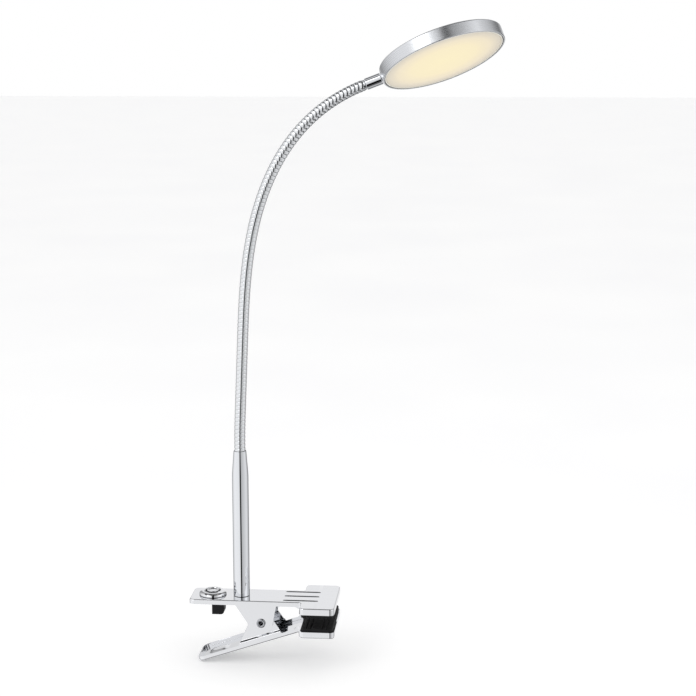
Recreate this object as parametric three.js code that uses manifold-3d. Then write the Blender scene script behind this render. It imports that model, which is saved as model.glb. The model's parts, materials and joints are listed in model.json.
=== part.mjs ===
// Clip-on reading lamp: a sprung clamp, a post, a flexible neck and a flat round LED head.
// Millimetres, +Z up. The origin is the centre of the upper jaw pad's gripping face, +X points out
// of the jaws and +Y is the clamp's left side.
import * as THREE from "three";
import { mergeVertices } from "three/addons/utils/BufferGeometryUtils.js";
import Module from "manifold-3d";

const wasm = await Module();
wasm.setup();

// ---------------------------------------------------------------- driving dimensions
const clearance = 0.3; // between pieces that touch, seat or slide
const sheet = 1.0; // steel sheet of both clamp halves

const jaw = { length: 26.8, width: 56, lip: 5, corner: 3.5, gap: 8, padProud: 2.8 };
const padGroove = { count: 2, pitch: 3.4, first: 4.2, width: 1.2, depth: 0.8 };
const strip = { rear: 100.2, width: 28.4, lip: 3.7, corner: 4 };
const rib = { count: 3, pitch: 10, length: 27, width: 1.8, height: 0.6, front: 0.5 };

const pivot = { x: -44.2, drop: 17.6, shank: 2.2, bore: 1.2, head: 3.5, headHeight: 0.9 };
const ear = { back: 21.9, front: 12.2, radius: 9 };
const lever = {
  slope: THREE.MathUtils.degToRad(18.8),
  rear: 57.0,
  lip: 3.5,
  corner: 5,
  band: 4.8,
  joggleRise: 1.7,
  joggleIn: 1.4,
  earRadius: 8.5,
  earBackFoot: 22.5,
  earFrontFoot: 12.5,
};
const spring = { wire: 1.6, coil: 5.2, turns: 8, sideGap: 1.1, upperLeg: 50, lowerLeg: -35 };

const post = {
  x: -61.1,
  radius: 6.35,
  height: 114.9,
  taper: 21.3,
  topRadius: 4.95,
  wall: 1,
};
const nipple = { radius: 4, bore: 2.6, height: 20 };
const postNut = { flats: 13, height: 2.8 };
const postWasher = { radius: 6.2, height: 0.8 };
const neckSocket = { height: 7.4, spigot: 8, bore: 1.3 };

const neck = {
  radius: 4.25,
  bore: 2.3,
  length: 310,
  inPost: 23,
  lean: THREE.MathUtils.degToRad(2.5),
  leanLength: 30,
  straight: 83,
  ramp: 175,
  bend: 120,
  segments: 9,
  sides: 14,
};
const joint = { socketBelow: 1.7 };
const lead = { radius: 0.8, sides: 8 };

const switchAt = { x: -83.6 };
const switchBezel = { radius: 10.6, height: 3.1, topRadius: 6.85, wall: 1 };
const switchBody = { radius: 7.3, depth: 4.7, neck: 5.6, wall: 0.8 };
const button = { radius: 4.9, proud: 0.4, pin: 1.1, pinLength: 0.6, travel: 1.4, foot: 1.4, dish: 0.5 };
const buttonSpring = { wire: 0.4, coil: 1.65, turns: 2.5 };
const terminal = { width: 2.2, thick: 0.6, length: 1.5, spread: 3.2, reach: 1.4 };
const gland = { size: 9.4, depth: 8.6, x: -79.2, bore: 2.4, corner: 2.5 };

const head = { radius: 46.4, height: 9.6, wall: 1.2, roll: 17.5, bevel: 0.5, sides: 40 };
const frontRing = { width: 0.9, height: 0.9, recess: 0.2 };
const diffuser = { flange: 0.5, recess: 0.35 };
const guide = { margin: 3.7, thick: 2 };
const ledStrip = { thick: 0.8, leds: 18, ledWidth: 2.8, ledDepth: 0.25 };
const reflector = { thick: 0.4 };
const board = { length: 14, width: 9, thick: 0.8, from: 20 };
const stem = { radius: 4.4, length: 12, bore: 2.9, boreDepth: 9, spigot: 1.8, spigotBore: 1.1 };
const stemRing = { radius: 2.6, height: 1.2 };
const neckTip = { collar: 3.8, collarHeight: 1.2, spigot: 2.6, spigotHeight: 8, tailHeight: 6, bore: 1.2 };

// ---------------------------------------------------------------- heights and places that follow
const plateTop = jaw.lip + jaw.padProud;
const plateUnder = plateTop - sheet;
const lowerFace = -jaw.gap; // gripping face of the lower pad
const lowerBottom = lowerFace - jaw.padProud - jaw.lip; // outer face of the lower jaw
const pivotZ = plateTop - pivot.drop;
const jawRear = -jaw.length / 2;
const stripHalf = strip.width / 2;
// The lever's outer face runs straight from the handle to the rear edge of the lower jaw.
const leverDrop =
  (jawRear - pivot.x) * Math.sin(lever.slope) - (lowerBottom - pivotZ) * Math.cos(lever.slope);
const postTop = plateTop + clearance + post.height;
const headInside = head.radius - head.wall;
const guideRadius = headInside - guide.margin;
// From the neck's end to the disc's centre, past the tip's collar, the stem and three clearances.
const headReach = neckTip.collarHeight + stem.length + 3 * clearance + head.radius;

// ---------------------------------------------------------------- materials
const chrome = new THREE.MeshStandardMaterial({ color: 0xc9ccd0, metalness: 1, roughness: 0.12 });
const brushed = new THREE.MeshStandardMaterial({ color: 0xc4c7ca, metalness: 1, roughness: 0.32 });
const steel = new THREE.MeshStandardMaterial({ color: 0x8b8e92, metalness: 1, roughness: 0.4 });
const brass = new THREE.MeshStandardMaterial({ color: 0xb9975b, metalness: 1, roughness: 0.35 });
const rubber = new THREE.MeshStandardMaterial({ color: 0x151517, metalness: 0, roughness: 0.7 });
const plastic = new THREE.MeshStandardMaterial({ color: 0x1a1a1c, metalness: 0, roughness: 0.45 });
const opal = new THREE.MeshStandardMaterial({ color: 0xf2e6c4, metalness: 0, roughness: 0.5 });
const acrylic = new THREE.MeshStandardMaterial({ color: 0xe9eef0, metalness: 0, roughness: 0.1 });
const white = new THREE.MeshStandardMaterial({ color: 0xf0efea, metalness: 0, roughness: 0.6 });
const laminate = new THREE.MeshStandardMaterial({ color: 0xe8e8e4, metalness: 0, roughness: 0.5 });
const wireSkin = new THREE.MeshStandardMaterial({ color: 0xdcdcda, metalness: 0, roughness: 0.6 });

// ---------------------------------------------------------------- shape helpers
const lamp = new THREE.Group();

// A closed geometry as a solid that can be joined and cut.
function solid(geometry) {
  const plain = geometry.clone();
  plain.deleteAttribute("normal");
  plain.deleteAttribute("uv");
  const merged = mergeVertices(plain, 1e-4);
  return new wasm.Manifold(
    new wasm.Mesh({
      numProp: 3,
      vertProperties: new Float32Array(merged.attributes.position.array),
      triVerts: new Uint32Array(merged.index.array),
    }),
  );
}

// Adds a solid to a group as a named mesh.
function add(name, body, material, group = lamp) {
  const cut = body.getMesh();
  const geometry = new THREE.BufferGeometry();
  geometry.setAttribute("position", new THREE.BufferAttribute(cut.vertProperties, 3));
  geometry.setIndex(new THREE.BufferAttribute(cut.triVerts, 1));
  const flat = geometry.toNonIndexed();
  flat.computeVertexNormals();
  const mesh = new THREE.Mesh(flat, material);
  mesh.name = name;
  group.add(mesh);
  return mesh;
}

// A plan outline raised from z0 to z1.
function raise(shape, z0, z1, curveSegments = 5) {
  const made = new THREE.ExtrudeGeometry(shape, {
    depth: z1 - z0,
    bevelEnabled: false,
    curveSegments,
  });
  return made.translate(0, 0, z0);
}

// A side outline, drawn in X and Z, given its width from y0 to y1.
function widen(shape, y0, y1, curveSegments = 8) {
  const made = new THREE.ExtrudeGeometry(shape, {
    depth: y1 - y0,
    bevelEnabled: false,
    curveSegments,
  });
  return made.rotateX(Math.PI / 2).translate(0, y1, 0);
}

function box(x0, x1, y0, y1, z0, z1) {
  const made = new THREE.BoxGeometry(x1 - x0, y1 - y0, z1 - z0);
  return made.translate((x0 + x1) / 2, (y0 + y1) / 2, (z0 + z1) / 2);
}

// A round bar standing on z0.
function rod(radius, z0, z1, sides = 24) {
  const made = new THREE.CylinderGeometry(radius, radius, z1 - z0, sides);
  return made.rotateX(Math.PI / 2).translate(0, 0, (z0 + z1) / 2);
}

// A round bar along Y.
function crossRod(radius, y0, y1, sides = 20) {
  const made = new THREE.CylinderGeometry(radius, radius, y1 - y0, sides);
  return made.translate(0, (y0 + y1) / 2, 0);
}

// A turned piece about Z, from [radius, height] pairs in counter-clockwise order.
function turn(pairs, sides = 40) {
  const points = pairs.map(([r, z]) => new THREE.Vector2(r, z));
  points.push(points[0].clone());
  return new THREE.LatheGeometry(points, sides).rotateX(Math.PI / 2);
}

// A rectangle with a radius on its rear corners and another on its front corners.
function plate(x0, x1, half, rearRadius, frontRadius) {
  const shape = new THREE.Shape();
  shape.moveTo(x0 + rearRadius, -half);
  shape.lineTo(x1 - frontRadius, -half);
  if (frontRadius > 0) {
    shape.absarc(x1 - frontRadius, -half + frontRadius, frontRadius, -Math.PI / 2, 0);
    shape.lineTo(x1, half - frontRadius);
    shape.absarc(x1 - frontRadius, half - frontRadius, frontRadius, 0, Math.PI / 2);
  } else {
    shape.lineTo(x1, half);
  }
  shape.lineTo(x0 + rearRadius, half);
  if (rearRadius > 0) {
    shape.absarc(x0 + rearRadius, half - rearRadius, rearRadius, Math.PI / 2, Math.PI);
    shape.lineTo(x0, -half + rearRadius);
    shape.absarc(x0 + rearRadius, -half + rearRadius, rearRadius, Math.PI, Math.PI * 1.5);
  }
  return shape;
}

// A tube or bar whose section is carried along a curve.
function sweep(shape, curve, steps, curveSegments = 6) {
  return new THREE.ExtrudeGeometry(shape, {
    steps,
    bevelEnabled: false,
    extrudePath: curve,
    curveSegments,
  });
}

function disc(radius, sides) {
  const shape = new THREE.Shape();
  shape.moveTo(radius, 0);
  for (let i = 1; i < sides; i += 1) {
    const angle = (2 * Math.PI * i) / sides;
    shape.lineTo(radius * Math.cos(angle), radius * Math.sin(angle));
  }
  shape.closePath();
  return shape;
}

// Where a line from a point meets a circle about the origin as a tangent, as an angle.
function tangentAngle(x, z, radius, side) {
  return Math.atan2(z, x) + side * Math.acos(radius / Math.hypot(x, z));
}

// ---------------------------------------------------------------- upper clamp half
// A folded tray: a flat with a lip all round, open below (down = -1) or above (down = 1).
function tray(x0, x1, half, rearRadius, frontRadius, face, lip, side) {
  const inner = [x0 + sheet, x1 - sheet, half - sheet];
  const rearInner = Math.max(rearRadius - sheet, 0);
  const frontInner = Math.max(frontRadius - sheet, 0);
  const edge = face + side * lip;
  const floor = face + side * sheet;
  const beyond = edge + side;
  const outline = plate(x0, x1, half, rearRadius, frontRadius);
  const inside = plate(...inner, rearInner, frontInner);
  const outer = raise(outline, Math.min(face, edge), Math.max(face, edge));
  const hollow = raise(inside, Math.min(floor, beyond), Math.max(floor, beyond));
  return { outer: solid(outer), hollow: solid(hollow) };
}

// The jaw's lips run round its front and sides, and the strip's run back from it as one channel.
function jawTray(face, side) {
  return tray(jawRear, -jawRear, jaw.width / 2, jaw.corner, jaw.corner, face, jaw.lip, side);
}

// A triangular lug with its sides tangent to a round end about the pivot.
function earShape(back, front, top, radius) {
  const start = tangentAngle(-back, top, radius, 1);
  const stop = tangentAngle(front, top, radius, -1);
  const shape = new THREE.Shape();
  shape.moveTo(front, top);
  shape.lineTo(-back, top);
  shape.absarc(0, 0, radius, start, stop + 2 * Math.PI);
  shape.lineTo(front, top);
  return shape;
}

function buildUpperPlate() {
  const paddle = jawTray(plateTop, -1);
  const bar = tray(-strip.rear, jawRear + sheet, stripHalf, strip.corner, 0, plateTop, strip.lip, -1);
  let body = paddle.outer.subtract(paddle.hollow).add(bar.outer.subtract(bar.hollow));
  const top = plateUnder - pivotZ + sheet / 2;
  const lug = earShape(ear.back, ear.front, top, ear.radius);
  [-1, 1].forEach((side) => {
    const y0 = side > 0 ? stripHalf - sheet : -stripHalf;
    const wall = widen(lug, y0, y0 + sheet).translate(pivot.x, 0, pivotZ);
    body = body.add(solid(wall));
  });
  for (let i = 0; i < rib.count; i += 1) {
    const y = (i - (rib.count - 1) / 2) * rib.pitch;
    const x0 = -rib.front - rib.length;
    const bead = plate(x0, -rib.front, rib.width / 2, rib.width / 2, rib.width / 2);
    const raised = raise(bead, plateTop - sheet / 2, plateTop + rib.height, 4).translate(0, y, 0);
    body = body.add(solid(raised));
  }
  const rivetHole = crossRod(pivot.shank + clearance, -strip.width, strip.width);
  body = body.subtract(solid(rivetHole.translate(pivot.x, 0, pivotZ)));
  const nippleHole = rod(nipple.radius + clearance, 0, plateTop + 1);
  body = body.subtract(solid(nippleHole.translate(post.x, 0, 0)));
  const switchHole = rod(switchBody.neck + clearance, plateUnder - 1, plateTop + 1);
  body = body.subtract(solid(switchHole.translate(switchAt.x, 0, 0)));
  add("upper_clamp_plate", body, chrome);
}

// A rubber pad that fills a jaw tray and stands proud of its lips, with cross grooves in its grip.
function jawPad(gripFace, side) {
  const half = jaw.length / 2 - sheet - clearance;
  const radius = jaw.corner - sheet;
  const back = gripFace + side * (jaw.lip + jaw.padProud - sheet - clearance);
  const shape = plate(-half, half, jaw.width / 2 - sheet - clearance, radius, radius);
  let body = solid(raise(shape, Math.min(gripFace, back), Math.max(gripFace, back)));
  for (let i = 0; i < padGroove.count; i += 1) {
    [-1, 1].forEach((end) => {
      const x = end * (padGroove.first + i * padGroove.pitch);
      const reach = jaw.width;
      const deep = gripFace + side * padGroove.depth;
      const past = gripFace - side;
      const groove = box(
        x - padGroove.width / 2,
        x + padGroove.width / 2,
        -reach,
        reach,
        Math.min(deep, past),
        Math.max(deep, past),
      );
      body = body.subtract(solid(groove));
    });
  }
  return body;
}

// ---------------------------------------------------------------- lower clamp half
// Lever geometry is drawn about the pivot with the web level, then turned to its slope.
function leverSection() {
  const web = -leverDrop;
  const floor = web + sheet;
  const bandTop = web + lever.band;
  const joggleTop = bandTop + lever.joggleRise;
  const outer = stripHalf;
  const inner = stripHalf - lever.joggleIn;
  const top = lever.earRadius + 1;
  const shape = new THREE.Shape();
  shape.moveTo(-outer, web);
  shape.lineTo(outer, web);
  shape.lineTo(outer, bandTop);
  shape.lineTo(inner, joggleTop);
  shape.lineTo(inner, top);
  shape.lineTo(inner - sheet, top);
  shape.lineTo(inner - sheet, joggleTop);
  shape.lineTo(outer - sheet, bandTop);
  shape.lineTo(outer - sheet, floor);
  shape.lineTo(-outer + sheet, floor);
  shape.lineTo(-outer + sheet, bandTop);
  shape.lineTo(-inner + sheet, joggleTop);
  shape.lineTo(-inner + sheet, top);
  shape.lineTo(-inner, top);
  shape.lineTo(-inner, joggleTop);
  shape.lineTo(-outer, bandTop);
  shape.closePath();
  return shape;
}

function leverSideShape() {
  const web = -leverDrop;
  const lipTop = web + lever.lip;
  const shape = new THREE.Shape();
  const backAngle = tangentAngle(-lever.earBackFoot, lipTop, lever.earRadius, -1);
  const frontAngle = tangentAngle(lever.earFrontFoot, lipTop, lever.earRadius, 1);
  shape.moveTo(-lever.earBackFoot - lever.lip, web);
  shape.lineTo(lever.earFrontFoot, web);
  shape.lineTo(lever.earFrontFoot, lipTop);
  shape.absarc(0, 0, lever.earRadius, frontAngle, backAngle);
  shape.lineTo(-lever.earBackFoot, lipTop);
  shape.lineTo(-lever.earBackFoot - lever.lip, lipTop - lever.lip / 2);
  shape.closePath();
  return shape;
}

function buildLowerLever() {
  const web = -leverDrop;
  const armEnd = (jawRear - pivot.x) / Math.cos(lever.slope);
  const handle = tray(-lever.rear, armEnd + sheet, stripHalf, lever.corner, 0, web, lever.lip, 1);
  const section = raise(leverSection(), -lever.rear, armEnd);
  const channel = solid(section.rotateX(Math.PI / 2).rotateZ(Math.PI / 2));
  const side = solid(widen(leverSideShape(), -stripHalf, stripHalf, 12));
  let arm = handle.outer.subtract(handle.hollow).add(channel.intersect(side));
  arm = arm.rotate([0, -THREE.MathUtils.radToDeg(lever.slope), 0]).translate([pivot.x, 0, pivotZ]);
  const ahead = box(jawRear + sheet / 2, jaw.length, -jaw.width, jaw.width, -jaw.width, jaw.width);
  arm = arm.subtract(solid(ahead));
  const paddle = jawTray(lowerBottom, 1);
  let body = arm.add(paddle.outer.subtract(paddle.hollow));
  const rivetHole = crossRod(pivot.shank + clearance, -strip.width, strip.width);
  body = body.subtract(solid(rivetHole.translate(pivot.x, 0, pivotZ)));
  add("lower_clamp_lever", body, chrome);
}

// ---------------------------------------------------------------- pivot and spring
function buildPivot() {
  const reach = stripHalf + clearance;
  const over = reach + pivot.headHeight;
  const profile = [
    [pivot.bore, -over],
    [pivot.head - 0.4, -over],
    [pivot.head, -over + 0.4],
    [pivot.head, -reach],
    [pivot.shank, -reach],
    [pivot.shank, reach],
    [pivot.head, reach],
    [pivot.head, over - 0.4],
    [pivot.head - 0.4, over],
    [pivot.bore, over],
  ];
  const body = turn(profile, 20).rotateX(Math.PI / 2).translate(pivot.x, 0, pivotZ);
  add("pivot_rivet", solid(body), steel);
}

// Helix about Y with a straight leg at each end that leaves along the coil's tangent.
class SpringWire extends THREE.Curve {
  constructor(radius, halfWidth, startAngle, stopAngle, startLeg, stopLeg) {
    super();
    Object.assign(this, { radius, halfWidth, startAngle, stopAngle, startLeg, stopLeg });
    this.turned = (stopAngle - startAngle) * radius;
    this.total = startLeg + this.turned + stopLeg;
  }

  getPoint(t, target = new THREE.Vector3()) {
    const s = t * this.total - this.startLeg;
    const onCoil = THREE.MathUtils.clamp(s / this.turned, 0, 1);
    const angle = this.startAngle + (this.stopAngle - this.startAngle) * onCoil;
    const past = s < 0 ? s : Math.max(s - this.turned, 0);
    const y = -this.halfWidth + 2 * this.halfWidth * onCoil;
    return target.set(
      this.radius * Math.cos(angle) - past * Math.sin(angle),
      y,
      this.radius * Math.sin(angle) + past * Math.cos(angle),
    );
  }
}

function buildSpring() {
  const stop = THREE.MathUtils.degToRad(spring.upperLeg + 360 * spring.turns);
  const start = THREE.MathUtils.degToRad(spring.lowerLeg);
  const half = spring.wire / 2 + clearance;
  const webReach = leverDrop - sheet - half;
  const lowerLeg = (webReach + spring.coil * Math.sin(start - lever.slope)) / Math.cos(start - lever.slope);
  const upperLeg = (pivot.drop - sheet - half - spring.coil * Math.sin(stop)) / Math.cos(stop);
  const earInside = stripHalf - lever.joggleIn - sheet;
  const halfWidth = earInside - spring.sideGap - spring.wire / 2;
  const curve = new SpringWire(spring.coil, halfWidth, start, stop, lowerLeg, upperLeg);
  const body = sweep(disc(spring.wire / 2, 5), curve, 12 * spring.turns);
  add("clamp_spring", solid(body.translate(pivot.x, 0, pivotZ)), steel);
}

// ---------------------------------------------------------------- post
function hexagon(flats) {
  return disc(flats / Math.sqrt(3), 6);
}

function buildPost() {
  const base = plateTop + clearance;
  const shoulder = postTop - post.taper;
  const bore = post.radius - post.wall;
  const topBore = neck.radius + clearance;
  const tube = turn(
    [
      [bore, base],
      [post.radius, base],
      [post.radius, shoulder],
      [post.topRadius, postTop - 0.3],
      [post.topRadius - 0.2, postTop],
      [topBore, postTop],
      [topBore, postTop - post.taper / 2],
      [bore, shoulder],
    ],
    28,
  );
  add("post_tube", solid(tube.translate(post.x, 0, 0)), chrome);

  const washerTop = plateUnder - clearance;
  const nutTop = washerTop - postWasher.height - clearance;
  const nippleBottom = nutTop - postNut.height;
  const nippleTube = turn([
    [nipple.bore, nippleBottom],
    [nipple.radius, nippleBottom],
    [nipple.radius, nippleBottom + nipple.height],
    [nipple.bore, nippleBottom + nipple.height],
  ], 24);
  add("post_nipple", solid(nippleTube.translate(post.x, 0, 0)), steel);

  const hole = nipple.radius + clearance;
  const washer = turn([
    [hole, washerTop - postWasher.height],
    [postWasher.radius, washerTop - postWasher.height],
    [postWasher.radius, washerTop],
    [hole, washerTop],
  ], 24);
  add("post_washer", solid(washer.translate(post.x, 0, 0)), steel);

  const nut = solid(raise(hexagon(postNut.flats), nutTop - postNut.height, nutTop));
  const nutHole = solid(rod(hole, nutTop - postNut.height - 1, nutTop + 1, 24));
  add("post_nut", nut.subtract(nutHole).translate([post.x, 0, 0]), steel);

  const insertTop = nippleBottom + nipple.height + 2;
  const insert = turn([
    [hole, base + clearance],
    [bore - clearance, base + clearance],
    [bore - clearance, insertTop],
    [nipple.bore, insertTop],
    [nipple.bore, nippleBottom + nipple.height + clearance],
    [hole, nippleBottom + nipple.height + clearance],
  ], 24);
  add("post_base_insert", solid(insert.translate(post.x, 0, 0)), brass);

  const neckFoot = postTop - neck.inPost;
  const socketTop = neckFoot - clearance;
  const socket = turn([
    [neckSocket.bore, socketTop - neckSocket.height],
    [bore - clearance, socketTop - neckSocket.height],
    [bore - clearance, socketTop],
    [neck.bore - clearance, socketTop],
    [neck.bore - clearance, socketTop + neckSocket.spigot],
    [neckSocket.bore, socketTop + neckSocket.spigot],
  ], 24);
  add("neck_socket", solid(socket.translate(post.x, 0, 0)), brass);
}

// ---------------------------------------------------------------- flexible neck
// The neck's centre line: upright in the post, a slight lean, then a bend that tightens to an arc.
class NeckLine extends THREE.Curve {
  constructor(from, to) {
    super();
    this.from = from;
    this.to = to;
  }

  static heading(s) {
    const e = THREE.MathUtils.clamp(s / neck.leanLength, 0, 1);
    const leaning = neck.lean * e * e * (3 - 2 * e);
    const u = THREE.MathUtils.clamp((s - neck.straight) / neck.ramp, 0, 1);
    const past = Math.max(s - neck.straight - neck.ramp, 0);
    return leaning + ((neck.ramp * u * u) / 2 + past) / neck.bend;
  }

  // Simpson's rule in even steps from the top of the post.
  static at(s) {
    const steps = Math.max(2, 2 * Math.ceil(Math.abs(s) / 4));
    const h = s / steps;
    let x = 0;
    let z = 0;
    for (let i = 0; i <= steps; i += 1) {
      const ends = i === 0 || i === steps;
      const weight = ends ? 1 : i % 2 ? 4 : 2;
      x += (weight * h * Math.sin(NeckLine.heading(i * h))) / 3;
      z += (weight * h * Math.cos(NeckLine.heading(i * h))) / 3;
    }
    return new THREE.Vector3(post.x + x, 0, postTop + z);
  }

  getPoint(t, target = new THREE.Vector3()) {
    return target.copy(NeckLine.at(this.from + (this.to - this.from) * t));
  }
}

// A turned shape stood at a place along the neck, with its own axis along the neck.
function standAt(geometry, s) {
  const place = NeckLine.at(s);
  return geometry.rotateY(NeckLine.heading(s)).translate(place.x, place.y, place.z);
}

// Segments meet at ball-shaped ends: each one's foot is a ball in the cup of the one below it.
function neckSegment(index) {
  const span = neck.length / neck.segments;
  const first = index === 0;
  const last = index === neck.segments - 1;
  const from = first ? -neck.inPost : index * span;
  const to = last ? neck.length - clearance : (index + 1) * span - joint.socketBelow;
  const ring = disc(neck.radius, neck.sides);
  let body = solid(sweep(ring, new NeckLine(from, to), 4));
  if (!first) {
    const ball = new THREE.SphereGeometry(neck.radius, neck.sides, 6).rotateX(Math.PI / 2);
    body = body.add(solid(standAt(ball, from)));
  }
  if (!last) {
    const cup = new THREE.SphereGeometry(neck.radius + clearance, neck.sides, 6).rotateX(Math.PI / 2);
    body = body.subtract(solid(standAt(cup, (index + 1) * span)));
  }
  const bore = sweep(disc(neck.bore, neck.sides / 2), new NeckLine(from - neck.radius - 1, to + 1), 4);
  return body.subtract(solid(bore));
}

function buildNeck() {
  for (let i = 0; i < neck.segments; i += 1) {
    add("neck_segment_" + i, neckSegment(i), chrome);
    const span = neck.length / neck.segments;
    const from = i === 0 ? -neck.inPost + neckSocket.spigot + 1 : i * span + clearance;
    const to = i === neck.segments - 1 ? neck.length - neckTip.tailHeight : (i + 1) * span - clearance;
    const core = sweep(disc(lead.radius, lead.sides), new NeckLine(from, to), 4);
    add("neck_lead_" + i, solid(core), wireSkin);
  }
}

// The lead from the switch dips under the post's nut and runs up the middle of the post.
function buildSupplyLead() {
  const low = plateUnder - 2 * clearance - postWasher.height - postNut.height - lead.radius - 0.9;
  const start = switchAt.x + switchBody.radius + clearance;
  const points = [
    new THREE.Vector3(start, 0, low + 2),
    new THREE.Vector3(start + 4.5, 0, low + 0.9),
    new THREE.Vector3(post.x - 4.5, 0, low - 0.2),
    new THREE.Vector3(post.x - 1.6, 0, low + 0.1),
    new THREE.Vector3(post.x - 0.4, 0, low + 2.4),
    new THREE.Vector3(post.x, 0, low + 8),
    new THREE.Vector3(post.x, 0, postTop - neck.inPost + neckSocket.spigot),
  ];
  const curve = new THREE.CatmullRomCurve3(points, false, "centripetal");
  add("supply_lead", solid(sweep(disc(lead.radius, lead.sides), curve, 36)), wireSkin);
}

// ---------------------------------------------------------------- switch and gland
function buildSwitch() {
  const group = new THREE.Group();
  group.position.x = switchAt.x;
  lamp.add(group);
  const foot = plateTop + clearance;
  const rimTop = foot + switchBezel.height;
  const bore = switchBezel.topRadius - switchBezel.wall;
  const dome = turn([
    [bore, foot],
    [switchBezel.radius, foot],
    [switchBezel.radius, foot + 0.5],
    [switchBezel.radius - 1.2, foot + switchBezel.height * 0.55],
    [switchBezel.topRadius + 0.9, rimTop - 0.4],
    [switchBezel.topRadius, rimTop],
    [bore, rimTop],
  ], 28);
  add("switch_bezel", solid(dome), chrome, group);

  const bodyTop = plateUnder - clearance;
  const bodyBottom = bodyTop - switchBody.depth;
  const well = switchBody.neck - 0.3;
  const neckTop = foot + switchBezel.height - button.travel;
  const housing = turn([
    [0, bodyBottom],
    [switchBody.radius, bodyBottom],
    [switchBody.radius, bodyTop],
    [switchBody.neck, bodyTop],
    [switchBody.neck, neckTop],
    [well, neckTop],
    [well, bodyBottom + switchBody.wall],
    [0, bodyBottom + switchBody.wall],
  ], 32);
  const slots = [-1, 1].map((side) =>
    solid(
      box(
        -terminal.thick / 2 - clearance,
        terminal.thick / 2 + clearance,
        side * terminal.spread - terminal.width / 2 - clearance,
        side * terminal.spread + terminal.width / 2 + clearance,
        bodyBottom - 1,
        bodyBottom + switchBody.wall + 1,
      ),
    ),
  );
  const slotted = slots.reduce((body, slot) => body.subtract(slot), solid(housing));
  add("switch_housing", slotted, plastic, group);

  [-1, 1].forEach((side, i) => {
    const y = side * terminal.spread;
    const tab = box(
      -terminal.thick / 2,
      terminal.thick / 2,
      y - terminal.width / 2,
      y + terminal.width / 2,
      bodyBottom,
      bodyBottom + terminal.length,
    );
    const contact = box(
      -terminal.reach,
      terminal.reach,
      y - terminal.width / 2,
      y + terminal.width / 2,
      bodyBottom + switchBody.wall + clearance,
      bodyBottom + terminal.length,
    );
    add("switch_terminal_" + (i + 1), solid(tab).add(solid(contact)), brass, group);
  });

  const buttonTop = rimTop + button.proud;
  const buttonFoot = bodyTop - button.foot;
  const cap = turn([
    [0, buttonFoot - button.pinLength],
    [button.pin, buttonFoot - button.pinLength],
    [button.pin, buttonFoot],
    [button.radius, buttonFoot],
    [button.radius, buttonTop - 0.5],
    [button.radius - 0.5, buttonTop],
    [button.radius - 1.6, buttonTop],
    [0, buttonTop - button.dish],
  ], 32);
  add("switch_button", solid(cap), chrome, group);

  const springTop = buttonFoot - clearance - buttonSpring.wire / 2;
  const springFoot = bodyBottom + switchBody.wall + clearance + buttonSpring.wire / 2;
  const coil = new SpringWire(
    buttonSpring.coil,
    (springTop - springFoot) / 2,
    0,
    2 * Math.PI * buttonSpring.turns,
    0,
    0,
  );
  const wire = sweep(disc(buttonSpring.wire / 2, 4), coil, 10 * buttonSpring.turns);
  wire.rotateX(Math.PI / 2).translate(0, 0, (springTop + springFoot) / 2);
  add("button_spring", solid(wire), steel, group);

  const glandTop = bodyBottom - clearance;
  const half = gland.size / 2;
  const block = new THREE.Shape();
  block.moveTo(-half, glandTop);
  block.lineTo(-half, glandTop - gland.depth);
  block.lineTo(half - gland.corner, glandTop - gland.depth);
  block.absarc(half - gland.corner, glandTop - gland.depth + gland.corner, gland.corner, -Math.PI / 2, 0);
  block.lineTo(half, glandTop);
  block.closePath();
  const glandBore = solid(rod(gland.bore, glandTop - gland.depth - 1, glandTop - 2, 20));
  const glandBody = solid(widen(block, -half, half)).subtract(glandBore);
  add("cord_gland", glandBody.translate([gland.x - switchAt.x, 0, 0]), plastic, group);
}

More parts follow.
